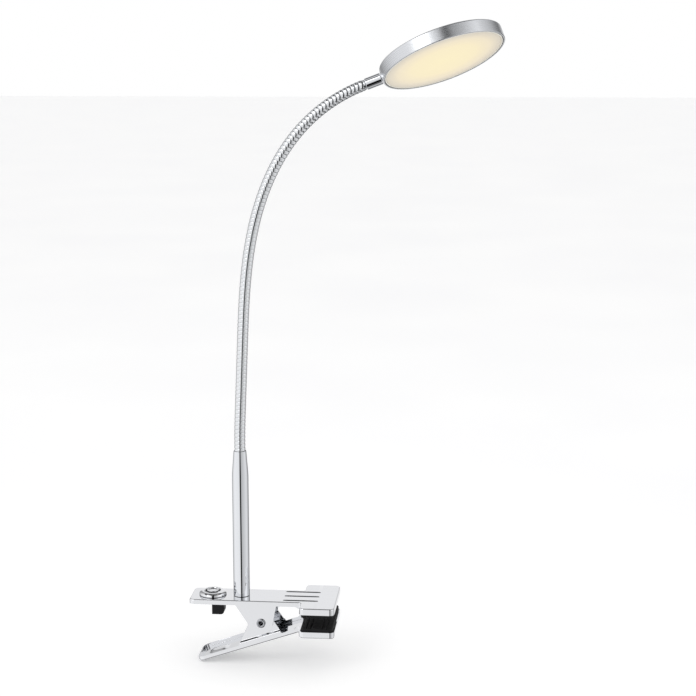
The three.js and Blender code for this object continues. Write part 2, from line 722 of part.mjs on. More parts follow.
// ---------------------------------------------------------------- lamp head
// Head pieces are drawn about the disc's centre: +X away from the neck, +Z out of its back.
function buildHead() {
  const end = NeckLine.at(neck.length);
  const heading = NeckLine.heading(neck.length);
  const tilt = new THREE.Group();
  tilt.position.copy(end);
  tilt.rotation.y = heading - Math.PI / 2;
  lamp.add(tilt);
  const group = new THREE.Group();
  group.rotation.x = -THREE.MathUtils.degToRad(head.roll);
  group.position.x = headReach;
  tilt.add(group);

  const low = -head.height / 2;
  const top = head.height / 2;
  const inside = headInside;
  const b = head.bevel;
  const shell = turn([
    [0, top - head.wall],
    [inside, top - head.wall],
    [inside, low],
    [head.radius - b, low],
    [head.radius, low + b],
    [head.radius, top - b],
    [head.radius - b, top],
    [0, top],
  ], head.sides);
  const stemHole = rod(stem.spigot + clearance, -head.radius - 1, -inside + 1, 20).rotateY(Math.PI / 2);
  add("head_housing", solid(shell).subtract(solid(stemHole)), brushed, group);

  const ringOut = inside - clearance;
  const ringIn = ringOut - frontRing.width;
  const ringLow = low + frontRing.recess;
  const ring = turn([
    [ringIn, ringLow],
    [ringOut, ringLow],
    [ringOut, ringLow + frontRing.height],
    [ringIn, ringLow + frontRing.height],
  ], head.sides);
  add("front_ring", solid(ring), white, group);

  const faceLow = low + diffuser.recess;
  const flangeLow = ringLow + frontRing.height + clearance;
  const flangeTop = flangeLow + diffuser.flange;
  const faceOut = ringIn - clearance;
  const opalDisc = turn([
    [0, faceLow],
    [faceOut, faceLow],
    [faceOut, flangeLow],
    [ringOut, flangeLow],
    [ringOut, flangeTop],
    [0, flangeTop],
  ], head.sides);
  add("diffuser", solid(opalDisc), opal, group);

  const guideLow = flangeTop + clearance;
  const guideTop = guideLow + guide.thick;
  add("light_guide", solid(rod(guideRadius, guideLow, guideTop, head.sides)), acrylic, group);

  const ledIn = guideRadius + clearance + ledStrip.ledDepth;
  let band = solid(
    turn([
      [ledIn, guideLow],
      [ledIn + ledStrip.thick, guideLow],
      [ledIn + ledStrip.thick, guideTop],
      [ledIn, guideTop],
    ], head.sides),
  );
  for (let i = 0; i < ledStrip.leds; i += 1) {
    const chip = box(
      ledIn - ledStrip.ledDepth,
      ledIn + ledStrip.thick / 2,
      -ledStrip.ledWidth / 2,
      ledStrip.ledWidth / 2,
      guideLow + 0.4,
      guideTop - 0.4,
    );
    band = band.add(solid(chip.rotateZ((2 * Math.PI * (i + 0.5)) / ledStrip.leds)));
  }
  add("led_strip", band, laminate, group);

  const sheetLow = guideTop + clearance;
  const sheetTop = sheetLow + reflector.thick;
  add("reflector_sheet", solid(rod(guideRadius, sheetLow, sheetTop, head.sides)), white, group);

  const boardLow = sheetTop + clearance;
  const boardBody = box(-board.from - board.length, -board.from, -board.width / 2, board.width / 2,
    boardLow, boardLow + board.thick);
  add("lead_board", solid(boardBody), laminate, group);

  // The stem butts the housing's rim. Its spigot passes the wall and is clinched over a ring.
  const foot = -headReach + clearance + neckTip.collarHeight + clearance;
  const rim = -head.radius - clearance;
  const spigotEnd = -inside + clearance + stemRing.height;
  const stemBody = turn([
    [stem.bore, foot],
    [stem.radius - 0.3, foot],
    [stem.radius, foot + 0.3],
    [stem.radius, rim],
    [stem.spigot, rim],
    [stem.spigot, spigotEnd],
    [stem.spigotBore, spigotEnd],
    [stem.spigotBore, foot + stem.boreDepth],
    [stem.bore, foot + stem.boreDepth],
  ], 32);
  add("head_stem", solid(stemBody.rotateY(Math.PI / 2)), chrome, group);

  const clinch = turn([
    [stem.spigot + clearance, -inside + clearance],
    [stemRing.radius, -inside + clearance],
    [stemRing.radius, spigotEnd],
    [stem.spigot + clearance, spigotEnd],
  ], 20);
  add("stem_clinch_ring", solid(clinch.rotateY(Math.PI / 2)), steel, group);

  const wireRise = sheetTop + clearance + lead.radius;
  const headLead = new THREE.CatmullRomCurve3(
    [
      new THREE.Vector3(-headReach + neckTip.spigotHeight + 4, 0, 0),
      new THREE.Vector3(spigotEnd, 0, 0),
      new THREE.Vector3(-guideRadius - 0.5, 0, wireRise * 0.8),
      new THREE.Vector3(-guideRadius + 3.5, 0, wireRise + 0.3),
      new THREE.Vector3(-board.from - board.length - clearance, 0, wireRise + 0.3),
    ],
    false,
    "centripetal",
  );
  add("head_lead", solid(sweep(disc(lead.radius, lead.sides), headLead, 16)), wireSkin, group);

  const tip = turn([
    [neckTip.bore, -neckTip.tailHeight],
    [neck.bore - 2 * clearance, -neckTip.tailHeight],
    [neck.bore - 2 * clearance, clearance],
    [neckTip.collar, clearance],
    [neckTip.collar, clearance + neckTip.collarHeight],
    [neckTip.spigot, clearance + neckTip.collarHeight],
    [neckTip.spigot, clearance + neckTip.collarHeight + neckTip.spigotHeight],
    [neckTip.bore, clearance + neckTip.collarHeight + neckTip.spigotHeight],
  ], 24);
  add("neck_tip_fitting", solid(tip.rotateY(Math.PI / 2)), steel, tilt);
}

// ---------------------------------------------------------------- assembly
buildUpperPlate();
add("upper_jaw_pad", jawPad(0, 1), rubber);
buildLowerLever();
add("lower_jaw_pad", jawPad(lowerFace, -1), rubber);
buildPivot();
buildSpring();
buildPost();
buildNeck();
buildSupplyLead();
buildSwitch();
buildHead();

export default lamp;
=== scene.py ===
import json
import math

import bmesh
import bpy
from mathutils import Matrix, Vector


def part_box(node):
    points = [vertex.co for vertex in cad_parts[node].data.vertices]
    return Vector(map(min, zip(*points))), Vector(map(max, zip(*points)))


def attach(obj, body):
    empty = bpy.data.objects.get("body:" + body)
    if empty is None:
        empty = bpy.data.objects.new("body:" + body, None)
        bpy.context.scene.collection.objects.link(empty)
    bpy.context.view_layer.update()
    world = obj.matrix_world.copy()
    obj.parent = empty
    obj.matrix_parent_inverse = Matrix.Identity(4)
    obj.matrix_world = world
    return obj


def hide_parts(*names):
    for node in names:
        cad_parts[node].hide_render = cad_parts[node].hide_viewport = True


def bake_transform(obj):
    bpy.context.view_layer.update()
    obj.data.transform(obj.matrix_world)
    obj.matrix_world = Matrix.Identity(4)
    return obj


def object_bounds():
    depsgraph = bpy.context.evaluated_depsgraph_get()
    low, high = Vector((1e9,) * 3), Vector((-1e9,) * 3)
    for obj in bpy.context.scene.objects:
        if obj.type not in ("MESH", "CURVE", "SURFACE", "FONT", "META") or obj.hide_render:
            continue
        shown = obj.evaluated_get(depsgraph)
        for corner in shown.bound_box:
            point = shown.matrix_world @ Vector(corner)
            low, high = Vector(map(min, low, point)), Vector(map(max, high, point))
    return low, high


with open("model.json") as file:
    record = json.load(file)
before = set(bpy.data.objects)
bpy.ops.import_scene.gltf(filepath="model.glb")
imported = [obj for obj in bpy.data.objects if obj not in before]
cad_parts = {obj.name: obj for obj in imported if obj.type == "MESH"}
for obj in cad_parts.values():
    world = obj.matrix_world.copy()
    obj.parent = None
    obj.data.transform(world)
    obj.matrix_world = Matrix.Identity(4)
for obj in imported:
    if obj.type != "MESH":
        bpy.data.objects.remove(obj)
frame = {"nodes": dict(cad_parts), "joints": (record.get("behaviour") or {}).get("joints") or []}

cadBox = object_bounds()
mm = 0.001


def boxOf(node):
    low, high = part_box(node)
    return [value / mm for value in low], [value / mm for value in high]


# camera, floor and light
studio = {
    "lens": 82.0,
    "place": (0.1234, -1.1628, 0.4235),
    "down": 10.65,
    "turn": 5.0,
    "floorSize": 30.0,
    "floorDrop": 0.0005,
    "aim": (0, 0, 0.2),
    "panels": (
        ("keyPanel", (-0.9, -1.1, 1.3), 0.9, 4.0),
        ("fillPanel", (1.4, -0.6, 1.0), 1.2, 2.0),
    ),
}


def buildStudio():
    camera = bpy.data.cameras.new("camera")
    camera.lens = studio["lens"]
    camera.sensor_width = 36.0
    camera.clip_end = 100.0
    viewer = bpy.data.objects.new("camera", camera)
    viewer.location = studio["place"]
    viewer.rotation_euler = (math.radians(90 - studio["down"]), 0, math.radians(studio["turn"]))
    bpy.context.scene.collection.objects.link(viewer)
    bpy.context.scene.camera = viewer
    bpy.context.scene.view_settings.view_transform = "Standard"

    plane = bmesh.new()
    bmesh.ops.create_grid(plane, x_segments=1, y_segments=1, size=studio["floorSize"] / 2)
    mesh = bpy.data.meshes.new("floor")
    plane.to_mesh(mesh)
    plane.free()
    mesh.transform(Matrix.Translation((0, 0, cadBox[0][2] - studio["floorDrop"])))
    floor = bpy.data.objects.new("floor", mesh)
    floor.data.materials.append(litFloor)
    bpy.context.scene.collection.objects.link(floor)
    floor.visible_glossy = False  # reflections see the tent below it instead

    for name, place, size, power in studio["panels"]:
        lamp = bpy.data.lights.new(name, "AREA")
        lamp.size = size
        lamp.energy = power
        holder = bpy.data.objects.new(name, lamp)
        holder.location = place
        aim = Vector(studio["aim"]) - Vector(place)
        holder.rotation_euler = aim.to_track_quat("-Z", "Y").to_euler()
        bpy.context.scene.collection.objects.link(holder)


# even white light for everything, and a tent that only reflections see: a dark slot where it opens at the
# front, grey to the right, and dark seams round its ceiling and its floor
tent = {
    "walls": (
        (0.0, 0.95), (0.05, 0.9), (0.085, 0.25), (0.12, 0.45), (0.2, 0.85), (0.27, 1.05), (0.44, 1.0),
        (0.49, 0.9), (0.503, 0.0), (0.541, 0.0), (0.555, 0.5), (0.60, 0.65), (0.67, 0.75),
        (0.76, 0.9), (0.83, 0.7), (0.88, 0.35), (0.92, 0.08), (0.955, 0.85), (1.0, 0.95),
    ),
    "levels": (
        (0.0, 0.7), (0.155, 0.7), (0.17, 0.04), (0.215, 0.04), (0.235, 1.0), (0.765, 1.0), (0.78, 0.02),
        (0.82, 0.02), (0.835, 0.6), (0.885, 0.6), (0.9, 0.08), (1.0, 0.2),
    ),
    "cool": 1.01,
    "matt": 0.8,
}


def buildTent():
    world = bpy.data.worlds.new("tent")
    bpy.context.scene.world = world
    world.use_nodes = True
    tree = world.node_tree
    tree.nodes.clear()
    place = addNode(tree, "ShaderNodeTexCoord")
    axes = addNode(tree, "ShaderNodeSeparateXYZ", links={0: place.outputs["Generated"]})
    front = addNode(tree, "ShaderNodeMath", {"operation": "MULTIPLY", 1: -1.0}, {0: axes.outputs[1]})
    turn = addNode(tree, "ShaderNodeMath", {"operation": "ARCTAN2"},
                   {0: axes.outputs[0], 1: front.outputs[0]})
    share = addNode(tree, "ShaderNodeMapRange", {"From Min": -math.pi, "From Max": math.pi},
                    {"Value": turn.outputs[0]})
    walls = addNode(tree, "ShaderNodeValToRGB", links={0: share.outputs[0]})
    setStops(walls, [(where, (grey, grey, grey * tent["cool"], 1)) for where, grey in tent["walls"]])
    rise = addNode(tree, "ShaderNodeMath", {"operation": "ARCSINE"}, {0: axes.outputs[2]})
    level = addNode(tree, "ShaderNodeMapRange", {"From Min": -math.pi / 2, "From Max": math.pi / 2},
                    {"Value": rise.outputs[0]})
    bands = addNode(tree, "ShaderNodeValToRGB", links={0: level.outputs[0]})
    setStops(bands, [(where, (grey, grey, grey, 1)) for where, grey in tent["levels"]])
    seen = addNode(tree, "ShaderNodeMix", {"data_type": "RGBA", "blend_type": "MULTIPLY", 0: 1.0},
                   {6: walls.outputs[0], 7: bands.outputs[0]})
    cloth = addNode(tree, "ShaderNodeBackground", {"Strength": 1.0}, {"Color": seen.outputs[2]})
    even = addNode(tree, "ShaderNodeBackground", {"Color": (1, 1, 1, 1), "Strength": tent["matt"]})
    behind = addNode(tree, "ShaderNodeBackground", {"Color": (1, 1, 1, 1), "Strength": 1.0})
    ray = addNode(tree, "ShaderNodeLightPath")
    lit = addNode(tree, "ShaderNodeMixShader",
                  links={0: ray.outputs["Is Glossy Ray"], 1: even.outputs[0], 2: cloth.outputs[0]})
    both = addNode(tree, "ShaderNodeMixShader",
                   links={0: ray.outputs["Is Camera Ray"], 1: lit.outputs[0], 2: behind.outputs[0]})
    addNode(tree, "ShaderNodeOutputWorld", links={0: both.outputs[0]})


def linearColour(code, share=1.0):
    parts = [int(code[i:i + 2], 16) / 255 for i in (1, 3, 5)]
    linear = [c / 12.92 if c <= 0.04045 else ((c + 0.055) / 1.055) ** 2.4 for c in parts]
    return tuple(c * share for c in linear) + (1.0,)


# a node with its settings and links, its first output led into a socket where one is given
def addNode(tree, kind, settings=None, links=None, into=None):
    node = tree.nodes.new(kind)
    for key, value in (settings or {}).items():
        if isinstance(key, int) or key in node.inputs:
            node.inputs[key].default_value = value
        else:
            setattr(node, key, value)
    for key, source in (links or {}).items():
        tree.links.new(source, node.inputs[key])
    if into is not None:
        tree.links.new(node.outputs[0], into)
    return node


def setStops(ramp, stops):
    elements = ramp.color_ramp.elements
    while len(elements) < len(stops):
        elements.new(1.0)
    for element, (where, colour) in zip(elements, stops):
        element.position = where
        element.color = colour


def newMaterial(name, **sockets):
    made = bpy.data.materials.new(name)
    made.use_nodes = True
    shader = made.node_tree.nodes["Principled BSDF"]
    for socket, value in sockets.items():
        shader.inputs[socket].default_value = value
    return made, made.node_tree, shader


# noise fixed to the piece, one for each pair of scale and detail. A scale counts cells in a metre: 90 is haze
# 11 mm across, 300 clouds of 3.3 mm, and 1400 grit of 0.7 mm, coarser than the real grit so that it shows
def noises(tree, *grains):
    place = addNode(tree, "ShaderNodeTexCoord")
    made = [addNode(tree, "ShaderNodeTexNoise", {"Scale": scale, "Detail": detail},
                    {"Vector": place.outputs["Object"]}) for scale, detail in grains]
    return [node.outputs[0] for node in made]


# what patterns do to a surface: stops of colour, a span of roughness, and relief of some depth and strength
def patterned(tree, shader, tone=None, rough=None, relief=None):
    if tone:
        pattern, stops = tone
        ramp = addNode(tree, "ShaderNodeValToRGB", None, {0: pattern}, shader.inputs["Base Color"])
        setStops(ramp, stops)
    if rough:
        pattern, low, high = rough
        span = {"From Min": 0.3, "From Max": 0.7, "To Min": low, "To Max": high}
        addNode(tree, "ShaderNodeMapRange", span, {"Value": pattern}, shader.inputs["Roughness"])
    if relief:
        pattern, depth, strength = relief
        addNode(tree, "ShaderNodeBump", {"Strength": strength, "Distance": depth}, {"Height": pattern},
                shader.inputs["Normal"])


# bright nickel-chrome plate over pressed steel: mirror, with polishing haze and a faint ripple
def platedChrome(name, code, low, high, ripple):
    made, tree, shader = newMaterial(name, Metallic=1.0)
    shader.inputs["Base Color"].default_value = linearColour(code)
    haze, wave = noises(tree, (90.0, 3.0), (60.0, 1.0))
    patterned(tree, shader, rough=(haze, low, high), relief=(wave, ripple, 1.0))
    return made


# cast or moulded black: fine grit that breaks up the highlight
def mouldedBlack(name, code, rough, grit, depth):
    made, tree, shader = newMaterial(name, **{"Specular IOR Level": 0.3})
    cloud, haze, grain = noises(tree, (300.0, 4.0), (500.0, 3.0), (grit, 2.0))
    tones = [(0.3, linearColour(code)), (0.75, linearColour(code, 1.6))]
    patterned(tree, shader, (cloud, tones), (haze, rough - 0.06, rough + 0.08), (grain, depth, 0.6))
    return made


# turned metal: rings round the piece's own axis, from its turnedAt attribute, wider apart than a real tool
# leaves them so that they show
def turnedMetal(name, code, low, high, pitch, depth):
    made, tree, shader = newMaterial(name, Metallic=1.0)
    place = addNode(tree, "ShaderNodeAttribute", {"attribute_name": "turnedAt"})
    axes = addNode(tree, "ShaderNodeSeparateXYZ", links={0: place.outputs["Vector"]})
    line = addNode(tree, "ShaderNodeMath", {"operation": "ADD"}, {0: axes.outputs[0], 1: axes.outputs[2]})
    rings = addNode(tree, "ShaderNodeTexNoise", {"noise_dimensions": "1D", "Scale": 1 / pitch, "Detail": 4.0},
                    {"W": line.outputs[0]}).outputs[0]
    tones = [(0.3, linearColour(code, 0.93)), (0.7, linearColour(code))]
    patterned(tree, shader, (rings, tones), (rings, low, high), (rings, depth, 0.5))
    return made


# zinc plate over drawn wire or a rolled blank: dull silver with darker clouds
def zincPlate(name, code, rough):
    made, tree, shader = newMaterial(name, Metallic=1.0)
    cloud, haze = noises(tree, (260.0, 5.0), (700.0, 3.0))
    tones = [(0.35, linearColour(code, 0.72)), (0.7, linearColour(code))]
    patterned(tree, shader, (cloud, tones), (haze, rough - 0.08, rough + 0.1), (cloud, 0.00002, 0.5))
    return made


# opal acrylic lit from its rim through a guide: even warm light that greys towards the edge
def litOpal(radius):
    made, tree, shader = newMaterial("opalAcrylicMoulded", Roughness=0.42, IOR=1.49)
    shader.inputs["Base Color"].default_value = linearColour("#A9A394")
    place = addNode(tree, "ShaderNodeAttribute", {"attribute_name": "turnedAt"})
    axes = addNode(tree, "ShaderNodeSeparateXYZ", links={0: place.outputs["Vector"]})
    share = addNode(tree, "ShaderNodeMapRange", {"From Min": 0.0, "From Max": radius},
                    {"Value": axes.outputs[0]})
    glow = addNode(tree, "ShaderNodeValToRGB", None, {0: share.outputs[0]}, shader.inputs["Emission Color"])
    setStops(glow, [
        (0.0, linearColour("#F6E6AC")),
        (0.55, linearColour("#F2E1AE")),
        (0.80, linearColour("#E3D3B2")),
        (0.93, linearColour("#C4B9A8")),
        (1.0, linearColour("#B0A89C")),
    ])
    shader.inputs["Emission Strength"].default_value = 0.6
    grain = addNode(tree, "ShaderNodeTexNoise", {"Scale": 2500.0, "Detail": 1.0},
                    {"Vector": place.outputs["Vector"]})
    patterned(tree, shader, relief=(grain.outputs[0], 0.00002, 0.3))
    return made


# injection moulded or printed pale parts, with a slight cloud in tone and a soft sheen
def paleMoulding(name, code, rough, scale):
    made, tree, shader = newMaterial(name)
    cloud, haze = noises(tree, (scale, 3.0), (scale * 2, 3.0))
    tones = [(0.35, linearColour(code, 0.95)), (0.7, linearColour(code))]
    patterned(tree, shader, (cloud, tones), (haze, rough - 0.05, rough + 0.05))
    return made


# opal acrylic sheet of a light table: nearly white all over, so only a faint shadow is left
def litSheet():
    made, tree, shader = newMaterial("acrylicSheetBacklit", Roughness=0.9)
    cloud = noises(tree, (3.0, 2.0))[0]
    patterned(tree, shader, (cloud, [(0.3, linearColour("#F7F7F8")), (0.7, linearColour("#FBFBFB"))]))
    shader.inputs["Emission Color"].default_value = linearColour("#FFFFFF")
    shader.inputs["Emission Strength"].default_value = 0.2
    return made


chromeSheet = platedChrome("chromePlatedPressedSteel", "#E8E9EB", 0.035, 0.075, 0.00001)
chromeTube = platedChrome("chromePlatedDrawnTube", "#E4E6E9", 0.03, 0.06, 0.000003)
chromeHose = platedChrome("chromePlatedWoundHose", "#E4E6E8", 0.05, 0.09, 0.000003)
chromeCap = platedChrome("chromePlatedPressedCap", "#E8E9EB", 0.03, 0.07, 0.000004)
rubberPad = mouldedBlack("nitrileRubberMoulded", "#0B0B0C", 0.6, 1400.0, 0.00004)
blackNylon = mouldedBlack("nylonSparkEroded", "#09090B", 0.45, 1800.0, 0.00002)
rimMetal = turnedMetal("aluminiumSatinTurned", "#D9DBDE", 0.2, 0.34, 0.00025, 0.000006)
brassTurned = turnedMetal("brassTurned", "#C2A061", 0.2, 0.35, 0.0004, 0.00001)
steelTurned = turnedMetal("steelNickelTurned", "#B4B6BA", 0.16, 0.3, 0.0004, 0.00001)
springWire = zincPlate("springSteelZincPlated", "#8E9196", 0.34)
zincPart = zincPlate("steelZincPlated", "#A4A7AB", 0.38)
opalLit = litOpal(0.0437)
whiteRing = paleMoulding("polycarbonateWhiteMoulded", "#EDEAE0", 0.4, 200.0)
clearGuide = paleMoulding("acrylicClearDotPrinted", "#E6ECEE", 0.15, 900.0)
whiteFilm = paleMoulding("polyesterWhiteFilm", "#F0F0EE", 0.5, 400.0)
whiteBoard = paleMoulding("glassEpoxyWhiteMask", "#E6E6E2", 0.4, 500.0)
leadSkin = paleMoulding("pvcLeadExtruded", "#D8D8D5", 0.45, 300.0)
litFloor = litSheet()
print("materials ready")


# mesh helpers: shapes are drawn in millimetres and turned to metres when they are finished
edgeAngle = {"rounded": 35, "split": 50}
overshoot = 1.0  # how far a cutter runs past what it cuts


def smoothStep(value):
    share = min(max(value, 0.0), 1.0)
    return share * share * (3 - 2 * share)


def arcPoints(centre, radius, start, stop, count):
    turns = [math.radians(start + (stop - start) * i / count) for i in range(count + 1)]
    return [(centre[0] + radius * math.cos(a), centre[1] + radius * math.sin(a)) for a in turns]


def sharpEdges(work, degrees, keep=None):
    limit = math.radians(degrees)
    found = [e for e in work.edges if len(e.link_faces) == 2 and e.calc_face_angle(0) > limit]
    return [e for e in found if keep is None or keep(e)]


def softenEdges(work, offset, segments=3, degrees=28, keep=None):
    bmesh.ops.bevel(work, geom=sharpEdges(work, degrees, keep), offset=offset, offset_type="OFFSET",
                    segments=segments, profile=0.5, affect="EDGES", clamp_overlap=False, material=-1)


def sliceAt(work, axis, levels, pick=None):
    for level in levels:
        faces = [f for f in work.faces if pick is None or pick(f)]
        edges = {e for f in faces for e in f.edges}
        corners = {v for f in faces for v in f.verts}
        bmesh.ops.bisect_plane(work, geom=faces + list(edges) + list(corners), dist=1e-5,
                               plane_co=Vector(axis) * level, plane_no=axis)


def outline(work, points):
    return work.faces.new([work.verts.new(point) for point in points])


# a flat outline pushed along one direction into a closed block
def pushed(points, direction):
    work = bmesh.new()
    face = outline(work, points)
    grown = bmesh.ops.extrude_face_region(work, geom=[face], use_keep_orig=True)["geom"]
    bmesh.ops.translate(work, verts=[v for v in grown if isinstance(v, bmesh.types.BMVert)], vec=direction)
    bmesh.ops.recalc_face_normals(work, faces=work.faces)
    return work


def rodBlank(radius, low, high, axis="Z", centre=(0, 0, 0), sides=64):
    work = bmesh.new()
    bmesh.ops.create_cone(work, cap_ends=True, segments=sides, radius1=radius, radius2=radius,
                          depth=high - low)
    bmesh.ops.translate(work, verts=work.verts, vec=(0, 0, (low + high) / 2))
    turns = {"Y": Matrix.Rotation(-math.pi / 2, 3, "X"), "X": Matrix.Rotation(math.pi / 2, 3, "Y")}
    if axis in turns:
        bmesh.ops.rotate(work, verts=work.verts, cent=(0, 0, 0), matrix=turns[axis])
    bmesh.ops.translate(work, verts=work.verts, vec=centre)
    return work


def runModifiers(piece, modifiers):
    for kind, settings in modifiers:
        modifier = piece.modifiers.new(kind.lower(), kind)
        for key, value in settings.items():
            setattr(modifier, key, value)
    bpy.context.view_layer.update()
    final = bpy.data.meshes.new_from_object(piece.evaluated_get(bpy.context.evaluated_depsgraph_get()))
    piece.modifiers.clear()
    raw = piece.data
    piece.data = final
    final.name = piece.name
    bpy.data.meshes.remove(raw)


def blankObject(work, name):
    mesh = bpy.data.meshes.new(name)
    work.to_mesh(mesh)
    work.free()
    piece = bpy.data.objects.new(name, mesh)
    bpy.context.scene.collection.objects.link(piece)
    return piece


def removeObject(piece):
    mesh = piece.data
    bpy.data.objects.remove(piece)
    bpy.data.meshes.remove(mesh)


# the same shape with modifiers applied, for more editing
def applied(work, modifiers):
    piece = blankObject(work, "blank")
    runModifiers(piece, modifiers)
    result = bmesh.new()
    result.from_mesh(piece.data)
    removeObject(piece)
    return result


# a finished piece: cuts, small edge rounding and even shading, then its place in metres
def toObject(work, name, place=None, cutters=(), rounding=0.0, segments=2, weighted=True):
    piece = blankObject(work, name)
    tools = [blankObject(cutter, "cutter") for cutter in cutters]
    cut = {"operation": "DIFFERENCE", "solver": "EXACT"}
    modifiers = [("BOOLEAN", dict(cut, object=tool)) for tool in tools]
    if rounding:
        limit = math.radians(edgeAngle["rounded"])
        modifiers.append(("BEVEL", {"width": rounding, "segments": segments, "limit_method": "ANGLE",
                                    "angle_limit": limit, "use_clamp_overlap": True}))
    if modifiers:
        runModifiers(piece, modifiers)
    for tool in tools:
        removeObject(tool)
    shaded = bmesh.new()
    shaded.from_mesh(piece.data)
    for face in shaded.faces:
        face.smooth = True
    for edge in sharpEdges(shaded, edgeAngle["split"]):
        edge.smooth = False
    shaded.to_mesh(piece.data)
    shaded.free()
    if weighted:
        runModifiers(piece, [("WEIGHTED_NORMAL", {"keep_sharp": True, "weight": 90})])
    piece.data.transform((place or Matrix.Identity(4)) @ Matrix.Scale(mm, 4))
    return piece


def dress(piece, surface, slot, body, *nodes):
    piece.data.materials.clear()
    piece.data.materials.append(surface)
    if body:
        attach(piece, body)
    if nodes:
        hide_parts(*nodes)
    return piece


def at(x, y, z):
    return Matrix.Translation((x * mm, y * mm, z * mm))


# a piece turned about Z from a profile of radius and height, with its turning pattern kept on it
def turned(name, profile, place, steps=96, rounding=0.15, cutters=()):
    work = bmesh.new()
    corners = [work.verts.new((r, 0, z)) for r, z in profile]
    pairs = list(zip(corners, corners[1:]))
    if profile[0][0] > 0 or profile[-1][0] > 0:
        pairs.append((corners[-1], corners[0]))
    edges = [work.edges.new(pair) for pair in pairs]
    bmesh.ops.spin(work, geom=corners + edges, cent=(0, 0, 0), axis=(0, 0, 1), dvec=(0, 0, 0),
                   angle=2 * math.pi, steps=steps, use_merge=True, use_duplicate=False)
    bmesh.ops.remove_doubles(work, verts=work.verts, dist=1e-4)
    bmesh.ops.recalc_face_normals(work, faces=work.faces)
    piece = toObject(work, name, cutters=cutters, rounding=rounding)
    pattern = piece.data.attributes.new("turnedAt", "FLOAT_VECTOR", "POINT")
    flat = []
    for vertex in piece.data.vertices:
        flat += [math.hypot(vertex.co.x, vertex.co.y), 0.0, vertex.co.z]
    pattern.data.foreach_set("vector", flat)
    piece.data.transform(place)
    return piece


# a pressed sheet drawn flat: a strip behind s = 0 and a wider jaw ahead of it, w rising into the lips
def pressedTee(form):
    half, inner, corner = form["stripHalf"], form["innerCorner"], form["jawCorner"]
    rear, round0 = -form["reach"], form["rearCorner"]
    side = arcPoints((rear + round0, half - round0), round0, 180, 90, 9)
    side += [(s, half) for s in form["columns"]]
    side += arcPoints((-inner, half + inner), inner, -90, 0, 6)
    side += arcPoints((corner, form["jawHalf"] - corner), corner, 180, 90, 8)
    side += arcPoints((form["jawLength"] - corner, form["jawHalf"] - corner), corner, 90, 0, 8)
    work = bmesh.new()
    web = outline(work, [(x, y, 0) for x, y in side] + [(x, -y, 0) for x, y in reversed(side)])
    grown = bmesh.ops.extrude_edge_only(work, edges=list(web.edges))["geom"]
    for vertex in [v for v in grown if isinstance(v, bmesh.types.BMVert)]:
        vertex.co.z = form["height"](vertex.co.x)
    bmesh.ops.recalc_face_normals(work, faces=work.faces)
    floor = max(work.faces, key=lambda f: f.calc_area())
    if floor.normal.z > 0:
        bmesh.ops.reverse_faces(work, faces=work.faces)
    softenEdges(work, form["fold"], 5, 60)
    return work


# the free edge of a lug: straight sides tangent to a round end about the pivot, reach against place
def lugEdge(lug):
    foot, radius = lug["foot"], lug["radius"]
    back = math.atan2(-foot, -lug["back"]) - math.acos(radius / math.hypot(lug["back"], foot))
    front = math.atan2(-foot, lug["front"]) + math.acos(radius / math.hypot(lug["front"], foot))
    backEnd = (radius * math.cos(back), radius * math.sin(back))
    frontEnd = (radius * math.cos(front), radius * math.sin(front))

    def reach(place):
        if place <= -lug["back"] or place >= lug["front"]:
            return -foot
        if place < backEnd[0]:
            share = (place + lug["back"]) / (backEnd[0] + lug["back"])
            return -foot + share * (backEnd[1] + foot)
        if place > frontEnd[0]:
            share = (lug["front"] - place) / (lug["front"] - frontEnd[0])
            return -foot + share * (frontEnd[1] + foot)
        return math.sqrt(max(radius ** 2 - place ** 2, 0))

    turn = back + 2 * math.pi if back < 0 else back
    arc = [radius * math.cos(turn + (front - turn) * i / 24) for i in range(25)]
    lip = lug["lip"] - lug["drop"]
    backLip = -lug["back"] + (lip + foot) / (backEnd[1] + foot) * (backEnd[0] + lug["back"])
    frontLip = lug["front"] - (lip + foot) / (frontEnd[1] + foot) * (lug["front"] - frontEnd[0])
    rearward = [backLip + step for step in (-1.5, -0.4, 0, 0.5)]
    forward = [frontLip + step for step in (-0.15, 0, 0.4, 1.5)]
    return reach, rearward + arc + forward


# upper clamp half
pivot = [value / mm for value in next(row["pos_m"] for row in frame["joints"] if row["name"] == "jaw_hinge")]
clamp = {
    "sheet": 1.0,
    "stripHalf": boxOf("pivot_rivet")[1][1] - 1.2,  # the rivet stands 1.2 mm proud of each side
    "rearCorner": 4.0,
    "stripLip": 3.7,
    "jawLip": 5.0,
    "jawCorner": 3.5,
    "innerCorner": 1.6,
    "fold": 1.1,
    "easeFrom": -4.8,
    "easeTo": -1.6,
    "beadHeight": 0.6,
    "beadLength": 27.0,
    "beadWidth": 1.8,
    "beadSkirt": 0.55,
    "beadPitch": 10.0,
    "beadFront": -0.5,
    "lug": {"back": 21.9, "front": 12.2, "radius": 9.0},
    "rivetHole": 2.5,
    "nippleHole": 4.3,
    "switchHole": 5.9,
    "drillAcross": 40.0,
    "drillDown": 2.5,
    "edge": 0.18,
}
sheetWall = ("SOLIDIFY", {"thickness": clamp["sheet"], "offset": -1.0, "use_even_offset": True})
plateLow, plateHigh = boxOf("upper_clamp_plate")
plateTop = plateHigh[2] - clamp["beadHeight"]
jawFront, jawHalf = plateHigh[0], plateHigh[1]
jawRear = -jawFront
postLow, postHigh = boxOf("post_tube")
postX = (postLow[0] + postHigh[0]) / 2
bezelLow, bezelHigh = boxOf("switch_bezel")
switchX = (bezelLow[0] + bezelHigh[0]) / 2


def wallHeight(form, reach, pivotAt, drop):
    def height(s):
        ease = smoothStep((s - form["easeFrom"]) / (form["easeTo"] - form["easeFrom"]))
        lip = form["stripLip"] + (form["jawLip"] - form["stripLip"]) * ease
        return max(lip, drop + reach(s - pivotAt))

    return height


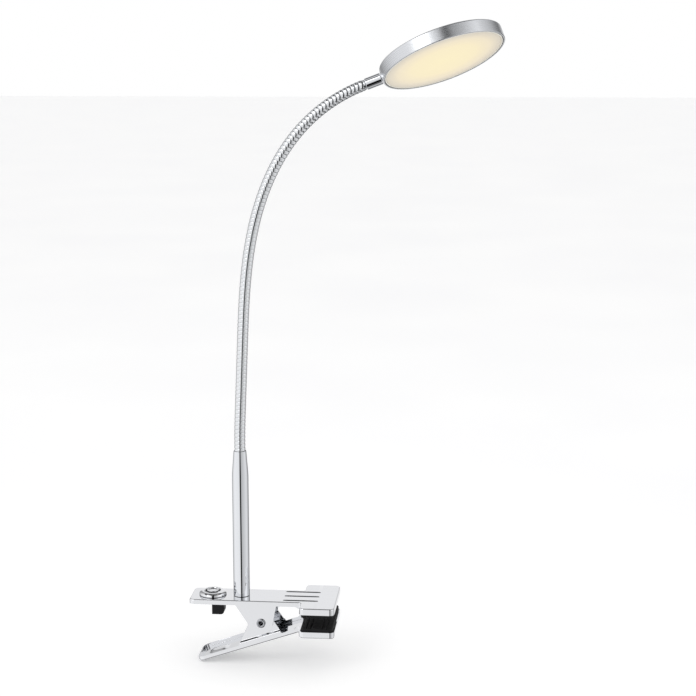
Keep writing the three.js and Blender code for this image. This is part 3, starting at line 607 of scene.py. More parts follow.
def easeColumns(form):
    span = form["easeTo"] - form["easeFrom"]
    return [form["easeFrom"] + span * i / 5 for i in range(5)]


# the flat of the web, leaving out the walls and the folds
def isWeb(face):
    return abs(face.normal.z) > 0.99 and face.calc_center_median().z < clamp["sheet"] + 0.01


def drilledAcross():
    reach = clamp["drillAcross"]
    return rodBlank(clamp["rivetHole"], -reach, reach, "Y", (pivot[0], 0, pivot[2]))


def drilledDown(radius, x):
    return rodBlank(radius, plateTop - clamp["drillDown"], plateTop + clamp["drillDown"], "Z", (x, 0, 0))


def buildUpperPlate():
    drop = plateTop - pivot[2]
    lug = dict(clamp["lug"], foot=drop - clamp["sheet"] / 2, drop=drop, lip=clamp["stripLip"])
    reach, columns = lugEdge(lug)
    pivotAt = pivot[0] - jawRear
    form = dict(
        clamp,
        reach=jawRear - plateLow[0],
        jawHalf=jawHalf,
        jawLength=2 * jawFront,
        columns=[pivotAt + c for c in columns] + easeColumns(clamp),
        height=wallHeight(clamp, reach, pivotAt, drop),
    )
    work = applied(pressedTee(form), [sheetWall])
    beads = [clamp["beadPitch"] * i for i in (-1, 0, 1)]
    span = clamp["beadWidth"] / 2 + clamp["beadSkirt"]
    rows = [y + span * (k - 6) / 6 for y in beads for k in range(13)]
    front = clamp["beadFront"] - jawRear
    back = front - clamp["beadLength"]
    ends = [front + clamp["beadSkirt"] - 2 * span * k / 12 for k in range(13)]
    ends += [back - clamp["beadSkirt"] + 2 * span * k / 12 for k in range(13)]
    sliceAt(work, (0, 1, 0), rows, isWeb)
    sliceAt(work, (1, 0, 0), ends, isWeb)
    core = clamp["beadWidth"] / 2
    for vertex in work.verts:
        if vertex.co.z > clamp["sheet"] + 0.01:
            continue
        along = max(back + core - vertex.co.x, vertex.co.x - front + core, 0)
        across = min(abs(vertex.co.y - y) for y in beads)
        off = math.hypot(along, across)
        vertex.co.z -= clamp["beadHeight"] * smoothStep(1 - off / span)
    for vertex in work.verts:
        vertex.co = (jawRear + vertex.co.x, vertex.co.y, plateTop - vertex.co.z)
    bmesh.ops.reverse_faces(work, faces=work.faces)
    holes = ((clamp["nippleHole"], postX), (clamp["switchHole"], switchX))
    cutters = [drilledAcross()] + [drilledDown(radius, x) for radius, x in holes]
    plate = toObject(work, "clampPlate", cutters=cutters, rounding=clamp["edge"])
    dress(plate, chromeSheet, "chromed_steel", "clamp_frame", "upper_clamp_plate")


# lower clamp half: the same kind of sheet, folded down behind the jaw, with joggled ears
lever = {
    "slope": 18.8,
    "padProud": 2.8,
    "lipStep": 0.2,
    "rear": 57.0,
    "stripLip": 3.5,
    "rearCorner": 5.0,
    "bandHeight": 4.8,
    "joggleRise": 1.7,
    "joggleIn": 1.4,
    "lug": {"back": 22.5, "front": 12.5, "radius": 8.5},
    "joggleBehind": -10.0,
    "bendReach": 3.0,
    "dimple": {"rear": 50.0, "length": 17.0, "width": 13.0, "skirt": 3.0, "height": 0.8},
}
slope = math.radians(lever["slope"])
leverBottom = boxOf("lower_jaw_pad")[1][2] - lever["padProud"] - clamp["jawLip"]
leverAhead, leverBelow = jawRear - pivot[0], leverBottom - pivot[2]
leverDrop = leverAhead * math.sin(slope) - leverBelow * math.cos(slope)  # square from the pivot to the web


def buildLowerLever():
    form = dict(clamp, **lever)
    bendAt = leverAhead * math.cos(slope) + leverBelow * math.sin(slope)
    lug = dict(lever["lug"], foot=leverDrop - lever["stripLip"], drop=leverDrop,
               lip=lever["stripLip"] + lever["lipStep"])
    reach, columns = lugEdge(lug)
    form.update(
        reach=lever["rear"] + bendAt,
        jawHalf=jawHalf,
        jawLength=2 * jawFront,
        columns=[c - bendAt for c in columns] + easeColumns(clamp),
        height=wallHeight(form, reach, -bendAt, leverDrop),
    )
    work = pressedTee(form)
    levels = [lever["bandHeight"] + lever["joggleRise"] * k / 6 for k in range(7)]
    behind = lever["joggleBehind"]
    sliceAt(work, (0, 0, 1), levels, lambda f: abs(f.normal.y) > 0.5 and f.calc_center_median().x < behind)
    for vertex in work.verts:
        if vertex.co.x < behind:
            shift = lever["joggleIn"] * smoothStep((vertex.co.z - lever["bandHeight"]) / lever["joggleRise"])
            vertex.co.y -= math.copysign(shift, vertex.co.y)
    work = applied(work, [sheetWall])
    dimple = lever["dimple"]
    rear = -dimple["rear"] - bendAt
    core = dimple["width"] / 2
    rows = [core * (k - 8) / 8 for k in range(17)]
    ends = [rear + dimple["length"] * k / 20 for k in range(21)]
    sliceAt(work, (0, 1, 0), rows, isWeb)
    sliceAt(work, (1, 0, 0), ends, isWeb)
    for vertex in work.verts:
        if vertex.co.z > clamp["sheet"] + 0.01:
            continue
        along = max(rear + core - vertex.co.x, vertex.co.x - rear - dimple["length"] + core, 0)
        off = math.hypot(along, vertex.co.y)
        vertex.co.z += dimple["height"] * smoothStep((core - off) / dimple["skirt"])
    bend = lever["bendReach"]
    sliceAt(work, (1, 0, 0), [bend * (k - 5) / 5 for k in range(11)])
    radius = bend / math.tan(slope / 2)
    for vertex in work.verts:
        s, w = vertex.co.x, vertex.co.z
        turn = slope * min(max((bend - s) / (2 * bend), 0), 1)
        x, z = min(s, bend), 0.0
        if s < bend:
            x, z = bend - radius * math.sin(turn), -radius * (1 - math.cos(turn))
        beyond = max(-bend - s, 0)
        x -= beyond * math.cos(slope)
        z -= beyond * math.sin(slope)
        if s > bend:
            x = s
        vertex.co.x = jawRear + x - w * math.sin(turn)
        vertex.co.z = leverBottom + z + w * math.cos(turn)
    piece = toObject(work, "clampLever", cutters=[drilledAcross()], rounding=clamp["edge"])
    dress(piece, chromeSheet, "chromed_steel", "clamp_lever", "lower_clamp_lever")


# rubber grip pads with grooves across their faces
pad = {
    "groovePitch": 3.4,
    "grooveFirst": 4.2,
    "grooveWidth": 1.2,
    "grooveDepth": 0.8,
    "corner": 2.5,
    "edge": 0.3,
}


def buildPad(name, node, body, gripSide):
    low, high = boxOf(node)
    grip, back = (low[2], high[2]) if gripSide < 0 else (high[2], low[2])
    deep = grip - gripSide * pad["grooveDepth"]
    centres = sorted(end * (pad["grooveFirst"] + i * pad["groovePitch"]) for i in range(2) for end in (-1, 1))
    points = [(low[0], low[1], back), (low[0], low[1], grip)]
    for centre in centres:
        left, right = centre - pad["grooveWidth"] / 2, centre + pad["grooveWidth"] / 2
        points += [(left, low[1], grip), (left, low[1], deep), (right, low[1], deep), (right, low[1], grip)]
    points += [(high[0], low[1], grip), (high[0], low[1], back)]
    work = pushed(points, (0, high[1] - low[1], 0))

    def isCorner(edge):
        one, other = [vertex.co for vertex in edge.verts]
        upright = abs(one.x - other.x) < 0.01 and abs(one.y - other.y) < 0.01
        return upright and abs(abs(one.x) - high[0]) < 0.01

    softenEdges(work, pad["corner"], 8, 28, isCorner)
    piece = toObject(work, name, rounding=pad["edge"])
    dress(piece, rubberPad, "black_rubber", body, node)


# hollow rivet through all four ears, its ends rolled over
rivet = {
    "bore": 1.25,
    "shank": 2.2,
    "head": 3.5,
    "headThick": 0.9,
    "brim": 0.35,
    "rollCentre": 2.55,
    "rollWidth": 0.95,
    "rollHeight": 0.5,
    "boreEnd": 0.1,
}


def buildRivet():
    seat = boxOf("pivot_rivet")[1][1] - rivet["headThick"]
    edge = seat + rivet["brim"]
    turns = [math.radians(15 + 13 * i) for i in range(11)]
    rim = [(rivet["head"], seat), (rivet["head"], edge)]
    rim += [(rivet["rollCentre"] + rivet["rollWidth"] * math.cos(a), edge + rivet["rollHeight"] * math.sin(a))
            for a in turns]
    rim += [(rivet["bore"], seat + rivet["boreEnd"])]
    profile = [(rivet["bore"], -seat - rivet["boreEnd"])] + [(r, -z) for r, z in reversed(rim[:-1])]
    profile += [(rivet["shank"], -seat), (rivet["shank"], seat)] + rim
    turnY = Matrix.Rotation(-math.pi / 2, 4, "X")
    piece = turned("pivotRivet", profile, at(pivot[0], 0, pivot[2]) @ turnY, 64, 0.0)
    dress(piece, steelTurned, "plated_steel", "clamp_frame", "pivot_rivet")


# a round wire wound about Z, its first turn starting at an angle, with a straight leg at each end
def woundWire(wire, radius, low, high, start, stop, startLeg, stopLeg, stepsPerTurn, sides=12):
    work = bmesh.new()
    bmesh.ops.create_circle(work, cap_ends=False, segments=sides, radius=wire / 2)
    bmesh.ops.rotate(work, verts=work.verts, cent=(0, 0, 0), matrix=Matrix.Rotation(math.pi / 2, 3, "X"))
    bmesh.ops.translate(work, verts=work.verts, vec=(radius, 0, low))
    bmesh.ops.rotate(work, verts=work.verts, cent=(0, 0, 0), matrix=Matrix.Rotation(start, 3, "Z"))
    first = list(work.verts)
    turnTotal = stop - start
    steps = max(int(abs(turnTotal) / (2 * math.pi) * stepsPerTurn), 8)
    firstEdges = list(work.edges)
    last = bmesh.ops.spin(work, geom=first + firstEdges, cent=(0, 0, 0), axis=(0, 0, 1),
                          dvec=(0, 0, (high - low) / steps), angle=turnTotal, steps=steps, use_merge=False,
                          use_duplicate=False)["geom_last"]
    ends = (
        (firstEdges, start, -startLeg),
        ([e for e in last if isinstance(e, bmesh.types.BMEdge)], stop, stopLeg),
    )
    for edges, angle, leg in ends:
        ring = edges
        if leg:
            grown = bmesh.ops.extrude_edge_only(work, edges=edges)["geom"]
            tip = [v for v in grown if isinstance(v, bmesh.types.BMVert)]
            along = Vector((-math.sin(angle), math.cos(angle), 0)) * leg
            bmesh.ops.translate(work, verts=tip, vec=along)
            ring = [e for e in grown if isinstance(e, bmesh.types.BMEdge) and all(v in tip for v in e.verts)]
        bmesh.ops.edgeloop_fill(work, edges=ring)
    bmesh.ops.recalc_face_normals(work, faces=work.faces)
    return work


spring = {
    "wire": 1.6,
    "coil": 5.2,
    "turns": 8,
    "upperLeg": 50.0,
    "lowerLeg": -35.0,
    "clear": 0.3,
    "steps": 40,
    "tip": 0.25,
    "held": 1.2,
}


def buildSpring():
    stop = math.radians(spring["upperLeg"] + 360 * spring["turns"])
    start = math.radians(spring["lowerLeg"])
    inset = clamp["sheet"] + spring["wire"] / 2 + spring["clear"]
    lowerLeg = (leverDrop - inset + spring["coil"] * math.sin(start - slope)) / math.cos(start - slope)
    upperLeg = (plateTop - pivot[2] - inset - spring["coil"] * math.sin(stop)) / math.cos(stop)
    half = boxOf("clamp_spring")[1][1] - spring["wire"] / 2
    work = woundWire(spring["wire"], spring["coil"], -half, half, start, stop, lowerLeg, upperLeg,
                     spring["steps"])
    for vertex in work.verts:
        vertex.co = (pivot[0] + vertex.co.x, vertex.co.z, pivot[2] + vertex.co.y)
    bmesh.ops.reverse_faces(work, faces=work.faces)
    piece = toObject(work, "torsionSpring", rounding=spring["tip"])
    dress(piece, springWire, "plated_steel", None, "clamp_spring")
    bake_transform(piece)


# post and the parts that hold it down
post = {
    "radius": 6.35,
    "wall": 1.0,
    "taper": 21.3,
    "topRadius": 4.95,
    "mouth": 4.55,
    "easeShare": 0.25,
    "easeCurve": 1.6,
    "easeShift": 0.15,
    "belly": 0.05,
    "lipHeight": 0.35,
    "lipFall": 0.12,
    "wireBore": 2.6,
    "threadBore": 4.3,
    "insertRoof": 1.7,
    "socketBore": 1.3,
    "socketNeck": 2.0,
    "socketStep": 7.4,
    "flats": 13.0,
    "edge": 0.12,
    "partEdge": 0.15,
    "nutEdge": 0.4,
}


# how far the post has drawn in, from 0 at the foot of its taper to 1 at its top
def taperShare(share):
    if share < post["easeShare"]:
        fall = share * share * post["easeCurve"]
    else:
        fall = share - post["easeShift"] + post["belly"] * share * (1 - share)
    return min(fall / (1 - post["easeShift"]), 1)


def buildPost():
    low, high = postLow[2], postHigh[2]
    shoulder = high - post["taper"]
    inner = post["radius"] - post["wall"]
    outer = [(post["radius"], low)]
    for i in range(15):
        share = i / 14
        outer.append((post["radius"] - (post["radius"] - post["topRadius"]) * taperShare(share),
                      shoulder + share * (post["taper"] - post["lipHeight"])))
    outer += [(post["topRadius"] - post["lipFall"], high)]
    profile = [(inner, low)] + outer
    profile += [(post["mouth"], high), (post["mouth"], high - post["taper"] / 2), (inner, shoulder)]
    piece = turned("postTube", profile, at(postX, 0, 0), 128, post["edge"])
    dress(piece, chromeTube, "chromed_steel", "clamp_frame", "post_tube")

    wire, thread, bore, neck = post["wireBore"], post["threadBore"], post["socketBore"], post["socketNeck"]
    for name, node, surface, slot in (
        ("postNipple", "post_nipple", steelTurned, "plated_steel"),
        ("postInsert", "post_base_insert", brassTurned, "turned_brass"),
        ("postWasher", "post_washer", zincPart, "plated_steel"),
        ("neckSocket", "neck_socket", brassTurned, "turned_brass"),
    ):
        lowest, highest = boxOf(node)
        foot, top, radius = lowest[2], highest[2], (highest[0] - lowest[0]) / 2
        roof, step = top - post["insertRoof"], foot + post["socketStep"]
        shapes = {
            "post_nipple": [(wire, foot), (radius, foot), (radius, top), (wire, top)],
            "post_washer": [(thread, foot), (radius, foot), (radius, top), (thread, top)],
            "post_base_insert": [(thread, foot), (radius, foot), (radius, top), (wire, top), (wire, roof),
                                 (thread, roof)],
            "neck_socket": [(bore, foot), (radius, foot), (radius, step), (neck, step), (neck, top),
                            (bore, top)],
        }
        piece = turned(name, shapes[node], at(postX, 0, 0), 64, post["partEdge"])
        dress(piece, surface, slot, "clamp_frame", node)

    lowest, highest = boxOf("post_nut")
    corners = arcPoints((postX, 0), post["flats"] / math.sqrt(3), 0, 300, 5)
    work = pushed([(x, y, lowest[2]) for x, y in corners], (0, 0, highest[2] - lowest[2]))
    cutter = rodBlank(thread, lowest[2] - overshoot, highest[2] + overshoot, "Z", (postX, 0, 0))
    piece = toObject(work, "postNut", cutters=[cutter], rounding=post["nutEdge"], segments=3)
    dress(piece, zincPart, "plated_steel", "clamp_frame", "post_nut")


# wound hose: one helical rib, laid along the neck's line and split where the segments are stiff
hose = {
    "radius": 4.25,
    "pitch": 3.05,
    "depth": 0.36,
    "wall": 0.6,
    "length": 310.0,
    "inPost": 22.7,
    "lean": 2.5,
    "leanLength": 30.0,
    "straight": 83.0,
    "ramp": 175.0,
    "bend": 120.0,
    "segments": 9,
    "steps": 36,
    "ribPoints": 10,
    "tableStep": 0.25,
    "sharp": 48,
    "split": 1.2,
}


def hoseHeading(s):
    leaning = math.radians(hose["lean"]) * smoothStep(s / hose["leanLength"])
    ramp = min(max((s - hose["straight"]) / hose["ramp"], 0), 1)
    past = max(s - hose["straight"] - hose["ramp"], 0)
    return leaning + (hose["ramp"] * ramp * ramp / 2 + past) / hose["bend"]


def hoseTable():
    points = [(postX, postHigh[2])]
    step = hose["tableStep"]
    for i in range(int(hose["length"] / step) + 4):
        x, z = points[-1]
        heading = hoseHeading((i + 0.5) * step)
        points.append((x + step * math.sin(heading), z + step * math.cos(heading)))
    return points


hoseLine = hoseTable()


def hosePoint(s):
    if s <= 0:
        return hoseLine[0][0], hoseLine[0][1] + s
    index = min(int(s / hose["tableStep"]), len(hoseLine) - 2)
    share = s / hose["tableStep"] - index
    (x0, z0), (x1, z1) = hoseLine[index], hoseLine[index + 1]
    return x0 + (x1 - x0) * share, z0 + (z1 - z0) * share


def hosePlace(s):
    x, z = hosePoint(s)
    return Vector((x * mm, 0, z * mm))


def buildHose():
    span = hose["length"] / hose["segments"]
    pitch = hose["pitch"]
    for index in range(1, hose["segments"]):
        low = -hose["inPost"] if index == 1 else (index - 0.5) * span
        high = hose["length"] if index == hose["segments"] - 1 else (index + 0.5) * span
        firstTurn = math.floor(low / pitch) - 1
        turns = math.ceil(high / pitch) + 1 - firstTurn
        work = bmesh.new()
        rib = []
        for k in range(hose["ribPoints"] + 1):
            along = (1 - math.cos(math.pi * k / hose["ribPoints"])) / 2
            bulge = math.sqrt(max(1 - (2 * along - 1) ** 2, 0))
            radius = hose["radius"] - hose["depth"] * (1 - bulge)
            rib.append(work.verts.new((radius, 0, (firstTurn + along) * pitch)))
        edges = [work.edges.new(pair) for pair in zip(rib, rib[1:])]
        bmesh.ops.spin(work, geom=rib + edges, cent=(0, 0, 0), axis=(0, 0, 1),
                       dvec=(0, 0, pitch / hose["steps"]), angle=2 * math.pi * turns,
                       steps=turns * hose["steps"], use_merge=False, use_duplicate=False)
        bmesh.ops.remove_doubles(work, verts=work.verts, dist=1e-3)
        for level, side in ((low, -1), (high, 1)):
            everything = list(work.verts) + list(work.edges) + list(work.faces)
            bmesh.ops.bisect_plane(work, geom=everything, dist=1e-5, plane_co=(0, 0, level),
                                   plane_no=(0, 0, side), clear_outer=True)
        bmesh.ops.recalc_face_normals(work, faces=work.faces)
        sample = next(iter(work.faces))
        centre = sample.calc_center_median()
        if sample.normal.dot(Vector((centre.x, centre.y, 0))) < 0:
            bmesh.ops.reverse_faces(work, faces=work.faces)
        wall = {"thickness": hose["wall"], "offset": -1.0, "use_even_offset": False}
        work = applied(work, [("SOLIDIFY", wall)])
        for edge in sharpEdges(work, hose["sharp"]):
            edge.smooth = False
        for vertex in work.verts:
            x, z = hosePoint(vertex.co.z)
            heading = hoseHeading(vertex.co.z)
            vertex.co.z = z - vertex.co.x * math.sin(heading)
            vertex.co.x = x + vertex.co.x * math.cos(heading)
        piece = toObject(work, "hose" + str(index), weighted=False)
        nodes = ["neck_segment_" + str(index)] + (["neck_segment_0"] if index == 1 else [])
        dress(piece, chromeHose, "chromed_steel", None, *nodes)
        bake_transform(piece)


# press switch behind the post
switch = {
    "bore": 5.85,
    "topRadius": 7.1,
    "domeStart": 0.4,
    "capFall": 0.3,
    "boreEdge": 0.4,
    "pin": 1.1,
    "pinLength": 0.6,
    "buttonLip": 0.4,
    "buttonEdge": ((0.0, 0.3), (0.08, 0.08), (0.25, 0.0)),
    "dish": 0.8,
    "dishWall": 1.0,
    "dishRise": 0.2,
    "well": 5.3,
    "neck": 5.6,
    "floor": 0.8,
    "depth": 4.7,
    "slot": (0.6, 1.4),
    "slotOver": 0.5,
}
buttonCoil = {
    "wire": 0.4,
    "radius": 1.65,
    "inset": 0.2,
    "turns": 2.5,
    "steps": 24,
    "sides": 8,
    "held": 0.5,
}


def buildSwitch():
    foot, rimTop, outer = bezelLow[2], bezelHigh[2], (bezelHigh[0] - bezelLow[0]) / 2
    bore, edge, domeFoot = switch["bore"], switch["boreEdge"], foot + switch["domeStart"]
    dome = [(outer, foot), (outer, domeFoot)]
    shoulder = rimTop - switch["capFall"]
    for i in range(1, 17):
        angle = math.radians(90 * i / 16)
        dome.append((switch["topRadius"] + (outer - switch["topRadius"]) * math.cos(angle),
                     domeFoot + (shoulder - domeFoot) * math.sin(angle)))
    profile = [(bore, foot)] + dome + [(bore + edge, rimTop), (bore, rimTop - edge)]
    piece = turned("switchBezel", profile, at(switchX, 0, 0), 128, 0.12)
    dress(piece, chromeCap, "chromed_steel", "clamp_frame", "switch_bezel")

    low, high = boxOf("switch_button")
    radius, top = (high[0] - low[0]) / 2, high[2]
    foot = low[2] + switch["pinLength"]
    lip = radius - switch["buttonLip"]
    wall = lip - switch["dishWall"]
    bed = top - switch["dish"]
    face = [(radius - inward, top - down) for inward, down in switch["buttonEdge"]] + [(lip, top)]
    for i in range(1, 7):
        angle = math.radians(15 * i)
        face.append((wall + switch["dishWall"] * math.cos(angle), top - switch["dish"] * math.sin(angle)))
    for i in range(1, 9):
        share = 1 - i / 8
        face.append((wall * share, bed + switch["dishRise"] * (1 - share ** 2)))
    profile = [(0, low[2]), (switch["pin"], low[2]), (switch["pin"], foot), (radius, foot)] + face
    piece = turned("switchButton", profile, at(switchX, 0, 0), 96, 0.1)
    dress(piece, chromeCap, "chromed_steel", "button", "switch_button")

    low, high = boxOf("switch_housing")
    radius = (high[0] - low[0]) / 2
    shoulder, floor = low[2] + switch["depth"], low[2] + switch["floor"]
    profile = [(0, low[2]), (radius, low[2]), (radius, shoulder), (switch["neck"], shoulder),
               (switch["neck"], high[2]), (switch["well"], high[2]), (switch["well"], floor), (0, floor)]
    cutters = []
    for node in ("switch_terminal_1", "switch_terminal_2"):
        near, far = boxOf(node)
        middle, start = (near[1] + far[1]) / 2, low[2] - overshoot
        x, y = switch["slot"]
        cutters.append(pushed([(-x, middle - y, start), (x, middle - y, start), (x, middle + y, start),
                               (-x, middle + y, start)],
                              (0, 0, overshoot + switch["floor"] + switch["slotOver"])))
    piece = turned("switchHousing", profile, at(switchX, 0, 0), 96, 0.2, cutters)
    dress(piece, blackNylon, "black_nylon", "clamp_frame", "switch_housing")

    low, high = boxOf("button_spring")
    foot, top = low[2] + buttonCoil["inset"], high[2] - buttonCoil["inset"]
    stop = 2 * math.pi * buttonCoil["turns"]
    work = woundWire(buttonCoil["wire"], buttonCoil["radius"], foot, top, 0, stop, 0, 0,
                     buttonCoil["steps"], buttonCoil["sides"])
    bmesh.ops.translate(work, verts=work.verts, vec=(switchX, 0, 0))
    piece = toObject(work, "buttonSpring", weighted=False)
    dress(piece, springWire, "plated_steel", None, "button_spring")
    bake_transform(piece)


gland = {"corner": 2.5, "bore": 2.4, "blind": 2.0, "edge": 0.5}


def buildGland():
    low, high = boxOf("cord_gland")
    corner = gland["corner"]
    points = [(low[0], high[2]), (low[0], low[2])]
    points += arcPoints((high[0] - corner, low[2] + corner), corner, -90, 0, 8)
    points += [(high[0], high[2])]
    work = pushed([(x, low[1], z) for x, z in points], (0, high[1] - low[1], 0))
    middle = (low[0] + high[0]) / 2
    cutter = rodBlank(gland["bore"], low[2] - overshoot, high[2] - gland["blind"], "Z", (middle, 0, 0), 48)
    piece = toObject(work, "cordGland", cutters=[cutter], rounding=gland["edge"], segments=3)
    dress(piece, blackNylon, "black_nylon", "clamp_frame", "cord_gland")


# lamp head, drawn about the disc's centre: X away from the neck and Z out of its back
head = {
    "radius": 46.4,
    "height": 9.6,
    "wall": 1.2,
    "bevel": 0.5,
    "crown": 1.1,
    "mouthEdge": 0.15,
    "roll": 17.5,
    "reach": 60.5,
    "rimGap": 0.6,
    "ringWidth": 0.9,
    "ringHeight": 0.9,
    "ringRecess": 0.2,
    "faceRecess": 0.35,
    "flange": 0.5,
    "gap": 0.3,
    "guideMargin": 3.7,
    "guideThick": 2.0,
    "sheetThick": 0.4,
    "stem": 4.4,
    "stemBore": 2.9,
    "stemFoot": 0.35,
    "stemRim": 0.25,
    "spigot": 1.8,
    "spigotBore": 1.1,
    "boreDepth": 9.0,
    "ringRadius": 2.6,
    "ringDepth": 1.2,
    "collar": 3.8,
    "collarDepth": 1.2,
    "tipSpigot": 2.6,
    "tipSpigotDepth": 8.0,
    "tail": 1.7,
    "tailDepth": 6.0,
    "tipBore": 1.2,
}


def buildHead():
    tilt = Matrix.Translation(hosePlace(hose["length"])) @ Matrix.Rotation(
        hoseHeading(hose["length"]) - math.pi / 2, 4, "Y")
    place = tilt @ at(head["reach"], 0, 0) @ Matrix.Rotation(-math.radians(head["roll"]), 4, "X")
    alongX = Matrix.Rotation(math.pi / 2, 4, "Y")
    low, top, gap = -head["height"] / 2, head["height"] / 2, head["gap"]
    inside, roof = head["radius"] - head["wall"], top - head["wall"]
    bevel, crown, edge = head["bevel"], head["crown"], head["mouthEdge"]
    shell = [(0, roof), (inside, roof), (inside, low + edge), (inside + edge, low)]
    shell += arcPoints((head["radius"] - bevel, low + bevel), bevel, -90, 0, 4)
    shell += arcPoints((head["radius"] - crown, top - crown), crown, 0, 90, 6) + [(0, top)]
    cutter = rodBlank(head["spigot"] + gap, -head["radius"] - overshoot, -inside + overshoot, "X",
                      (0, 0, 0), 40)
    piece = turned("headHousing", shell, place, 224, 0.0, [cutter])
    dress(piece, rimMetal, "brushed_aluminium", "lamp_head", "head_housing")

    ringOut = inside - head["rimGap"]
    ringIn = ringOut - head["ringWidth"]
    ringLow = low + head["ringRecess"]
    ringTop = ringLow + head["ringHeight"]
    ring = [(ringIn, ringLow), (ringOut, ringLow), (ringOut, ringTop), (ringIn, ringTop)]
    piece = turned("frontRing", ring, place, 224, 0.2)
    dress(piece, whiteRing, "white_moulding", "lamp_head", "front_ring")

    faceOut = ringIn - gap
    flangeLow = ringTop + gap
    flangeTop = flangeLow + head["flange"]
    flange = ringIn + head["ringWidth"] / 2
    opal = [(0, low + head["faceRecess"]), (faceOut, low + head["faceRecess"]), (faceOut, flangeLow),
            (flange, flangeLow), (flange, flangeTop), (0, flangeTop)]
    piece = turned("opalDiffuser", opal, place, 224, 0.15)
    dress(piece, opalLit, "opal_acrylic", "lamp_head", "diffuser")

    guideOut = inside - head["guideMargin"]
    guideLow = flangeTop + gap
    guideTop = guideLow + head["guideThick"]
    guide = [(0, guideLow), (guideOut, guideLow), (guideOut, guideTop), (0, guideTop)]
    piece = turned("lightGuide", guide, place, 160, 0.1)
    dress(piece, clearGuide, "clear_acrylic", "lamp_head", "light_guide")

    sheetLow = guideTop + gap
    sheetTop = sheetLow + head["sheetThick"]
    film = [(0, sheetLow), (guideOut, sheetLow), (guideOut, sheetTop), (0, sheetTop)]
    piece = turned("reflectorSheet", film, place, 160, 0.08)
    dress(piece, whiteFilm, "white_film", "lamp_head", "reflector_sheet")

    foot = -head["reach"] + gap + head["collarDepth"] + gap
    rim = -head["radius"] - gap
    spigotEnd = -inside + gap + head["ringDepth"]
    stem = [(head["stemBore"], foot), (head["stem"] - head["stemFoot"], foot),
            (head["stem"], foot + head["stemFoot"]), (head["stem"], rim - head["stemRim"]),
            (head["stem"] - head["stemRim"], rim), (head["spigot"], rim),
            (head["spigot"], spigotEnd), (head["spigotBore"], spigotEnd),
            (head["spigotBore"], foot + head["boreDepth"]), (head["stemBore"], foot + head["boreDepth"])]
    piece = turned("headStem", stem, place @ alongX, 96, 0.1)
    dress(piece, chromeTube, "chromed_steel", "lamp_head", "head_stem")

    clinch = [(head["spigot"] + gap, -inside + gap), (head["ringRadius"], -inside + gap),
              (head["ringRadius"], spigotEnd), (head["spigot"] + gap, spigotEnd)]
    piece = turned("stemClinchRing", clinch, place @ alongX, 48, 0.15)
    dress(piece, steelTurned, "plated_steel", "lamp_head", "stem_clinch_ring")

    collarTop = gap + head["collarDepth"]
    tip = [(head["tipBore"], -head["tailDepth"]), (head["tail"], -head["tailDepth"]), (head["tail"], gap),
           (head["collar"], gap), (head["collar"], collarTop), (head["tipSpigot"], collarTop),
           (head["tipSpigot"], collarTop + head["tipSpigotDepth"]),
           (head["tipBore"], collarTop + head["tipSpigotDepth"])]
    piece = turned("neckTipFitting", tip, tilt @ alongX, 72, 0.12)
    dress(piece, chromeTube, "plated_steel", "neck_8", "neck_tip_fitting")


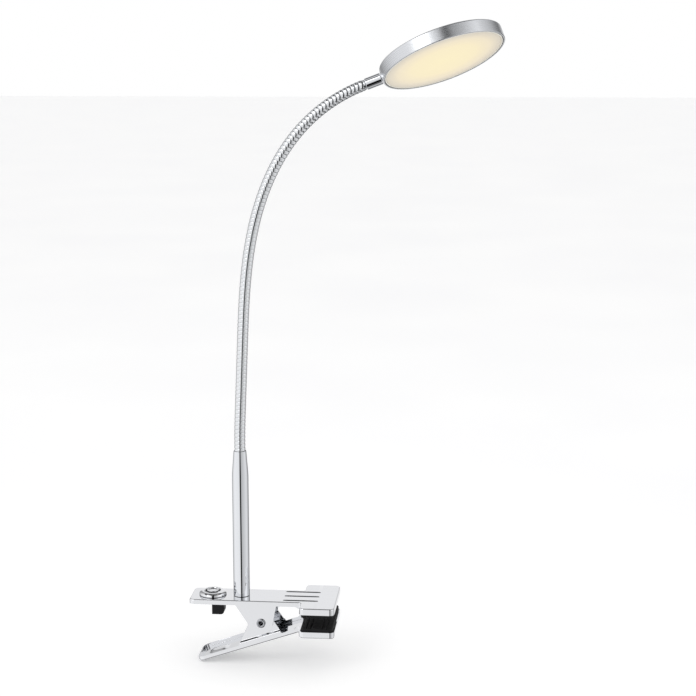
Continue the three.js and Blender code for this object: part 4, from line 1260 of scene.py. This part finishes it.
# a round lead drawn as a curve through a few points and turned into a mesh
def layLead(name, node, body, points, radius):
    route = bpy.data.curves.new(name, "CURVE")
    route.dimensions = "3D"
    route.bevel_depth = radius * mm
    route.bevel_resolution = 4
    route.use_fill_caps = True
    spline = route.splines.new("BEZIER")
    spline.bezier_points.add(len(points) - 1)
    for knot, place in zip(spline.bezier_points, points):
        knot.co = [value * mm for value in place]
        knot.handle_left_type = knot.handle_right_type = "AUTO"
    holder = bpy.data.objects.new(name + "Route", route)
    bpy.context.scene.collection.objects.link(holder)
    bpy.context.view_layer.update()
    mesh = bpy.data.meshes.new_from_object(holder.evaluated_get(bpy.context.evaluated_depsgraph_get()))
    bpy.data.objects.remove(holder)
    bpy.data.curves.remove(route)
    piece = bpy.data.objects.new(name, mesh)
    mesh.name = name
    bpy.context.scene.collection.objects.link(piece)
    work = bmesh.new()
    work.from_mesh(mesh)
    bmesh.ops.remove_doubles(work, verts=work.verts, dist=1e-6)
    bmesh.ops.recalc_face_normals(work, faces=work.faces)
    for face in work.faces:
        face.smooth = True
    work.to_mesh(mesh)
    work.free()
    dress(piece, leadSkin, "lead_insulation", body, node)


lead = {
    "radius": 0.8,
    "below": 5.9,  # under the sheet, clear of the nut on the nipple
    "fromSwitch": 7.6,
    "run": ((0, 2), (4.5, 0.9)),  # along from the switch, and up
    "turnUp": ((-4.5, -0.2), (-1.6, 0.1), (-0.4, 2.4), (0, 8)),  # along from the post's axis, and up
    "stopShort": 15.0,
}


def buildLead():
    low = plateTop - clamp["sheet"] - lead["below"]
    start = switchX + lead["fromSwitch"]
    points = [(start + x, 0, low + z) for x, z in lead["run"]]
    points += [(postX + x, 0, low + z) for x, z in lead["turnUp"]]
    points += [(postX, 0, postHigh[2] - lead["stopShort"])]
    layLead("supplyLead", "supply_lead", "clamp_frame", points, lead["radius"])


def finishNodes():
    keptNodes = {
        "switch_terminal_1": brassTurned,
        "switch_terminal_2": brassTurned,
        "led_strip": whiteBoard,
        "lead_board": whiteBoard,
        "head_lead": leadSkin,
    }
    for index in range(hose["segments"]):
        keptNodes["neck_lead_" + str(index)] = leadSkin
    for name, surface in keptNodes.items():
        node = frame["nodes"][name]
        node.data.materials.clear()
        node.data.materials.append(surface)


buildStudio()
buildTent()
print("studio ready")
buildUpperPlate()
print("upper clamp plate ready")
buildLowerLever()
print("lower clamp lever ready")
buildPad("upperPad", "upper_jaw_pad", "clamp_frame", -1)
buildPad("lowerPad", "lower_jaw_pad", "clamp_lever", 1)
buildRivet()
buildSpring()
print("pads, rivet and spring ready")
buildPost()
buildHose()
print("post and hose ready")
buildSwitch()
buildGland()
buildLead()
print("switch, gland and lead ready")
buildHead()
finishNodes()
print("lamp head ready")
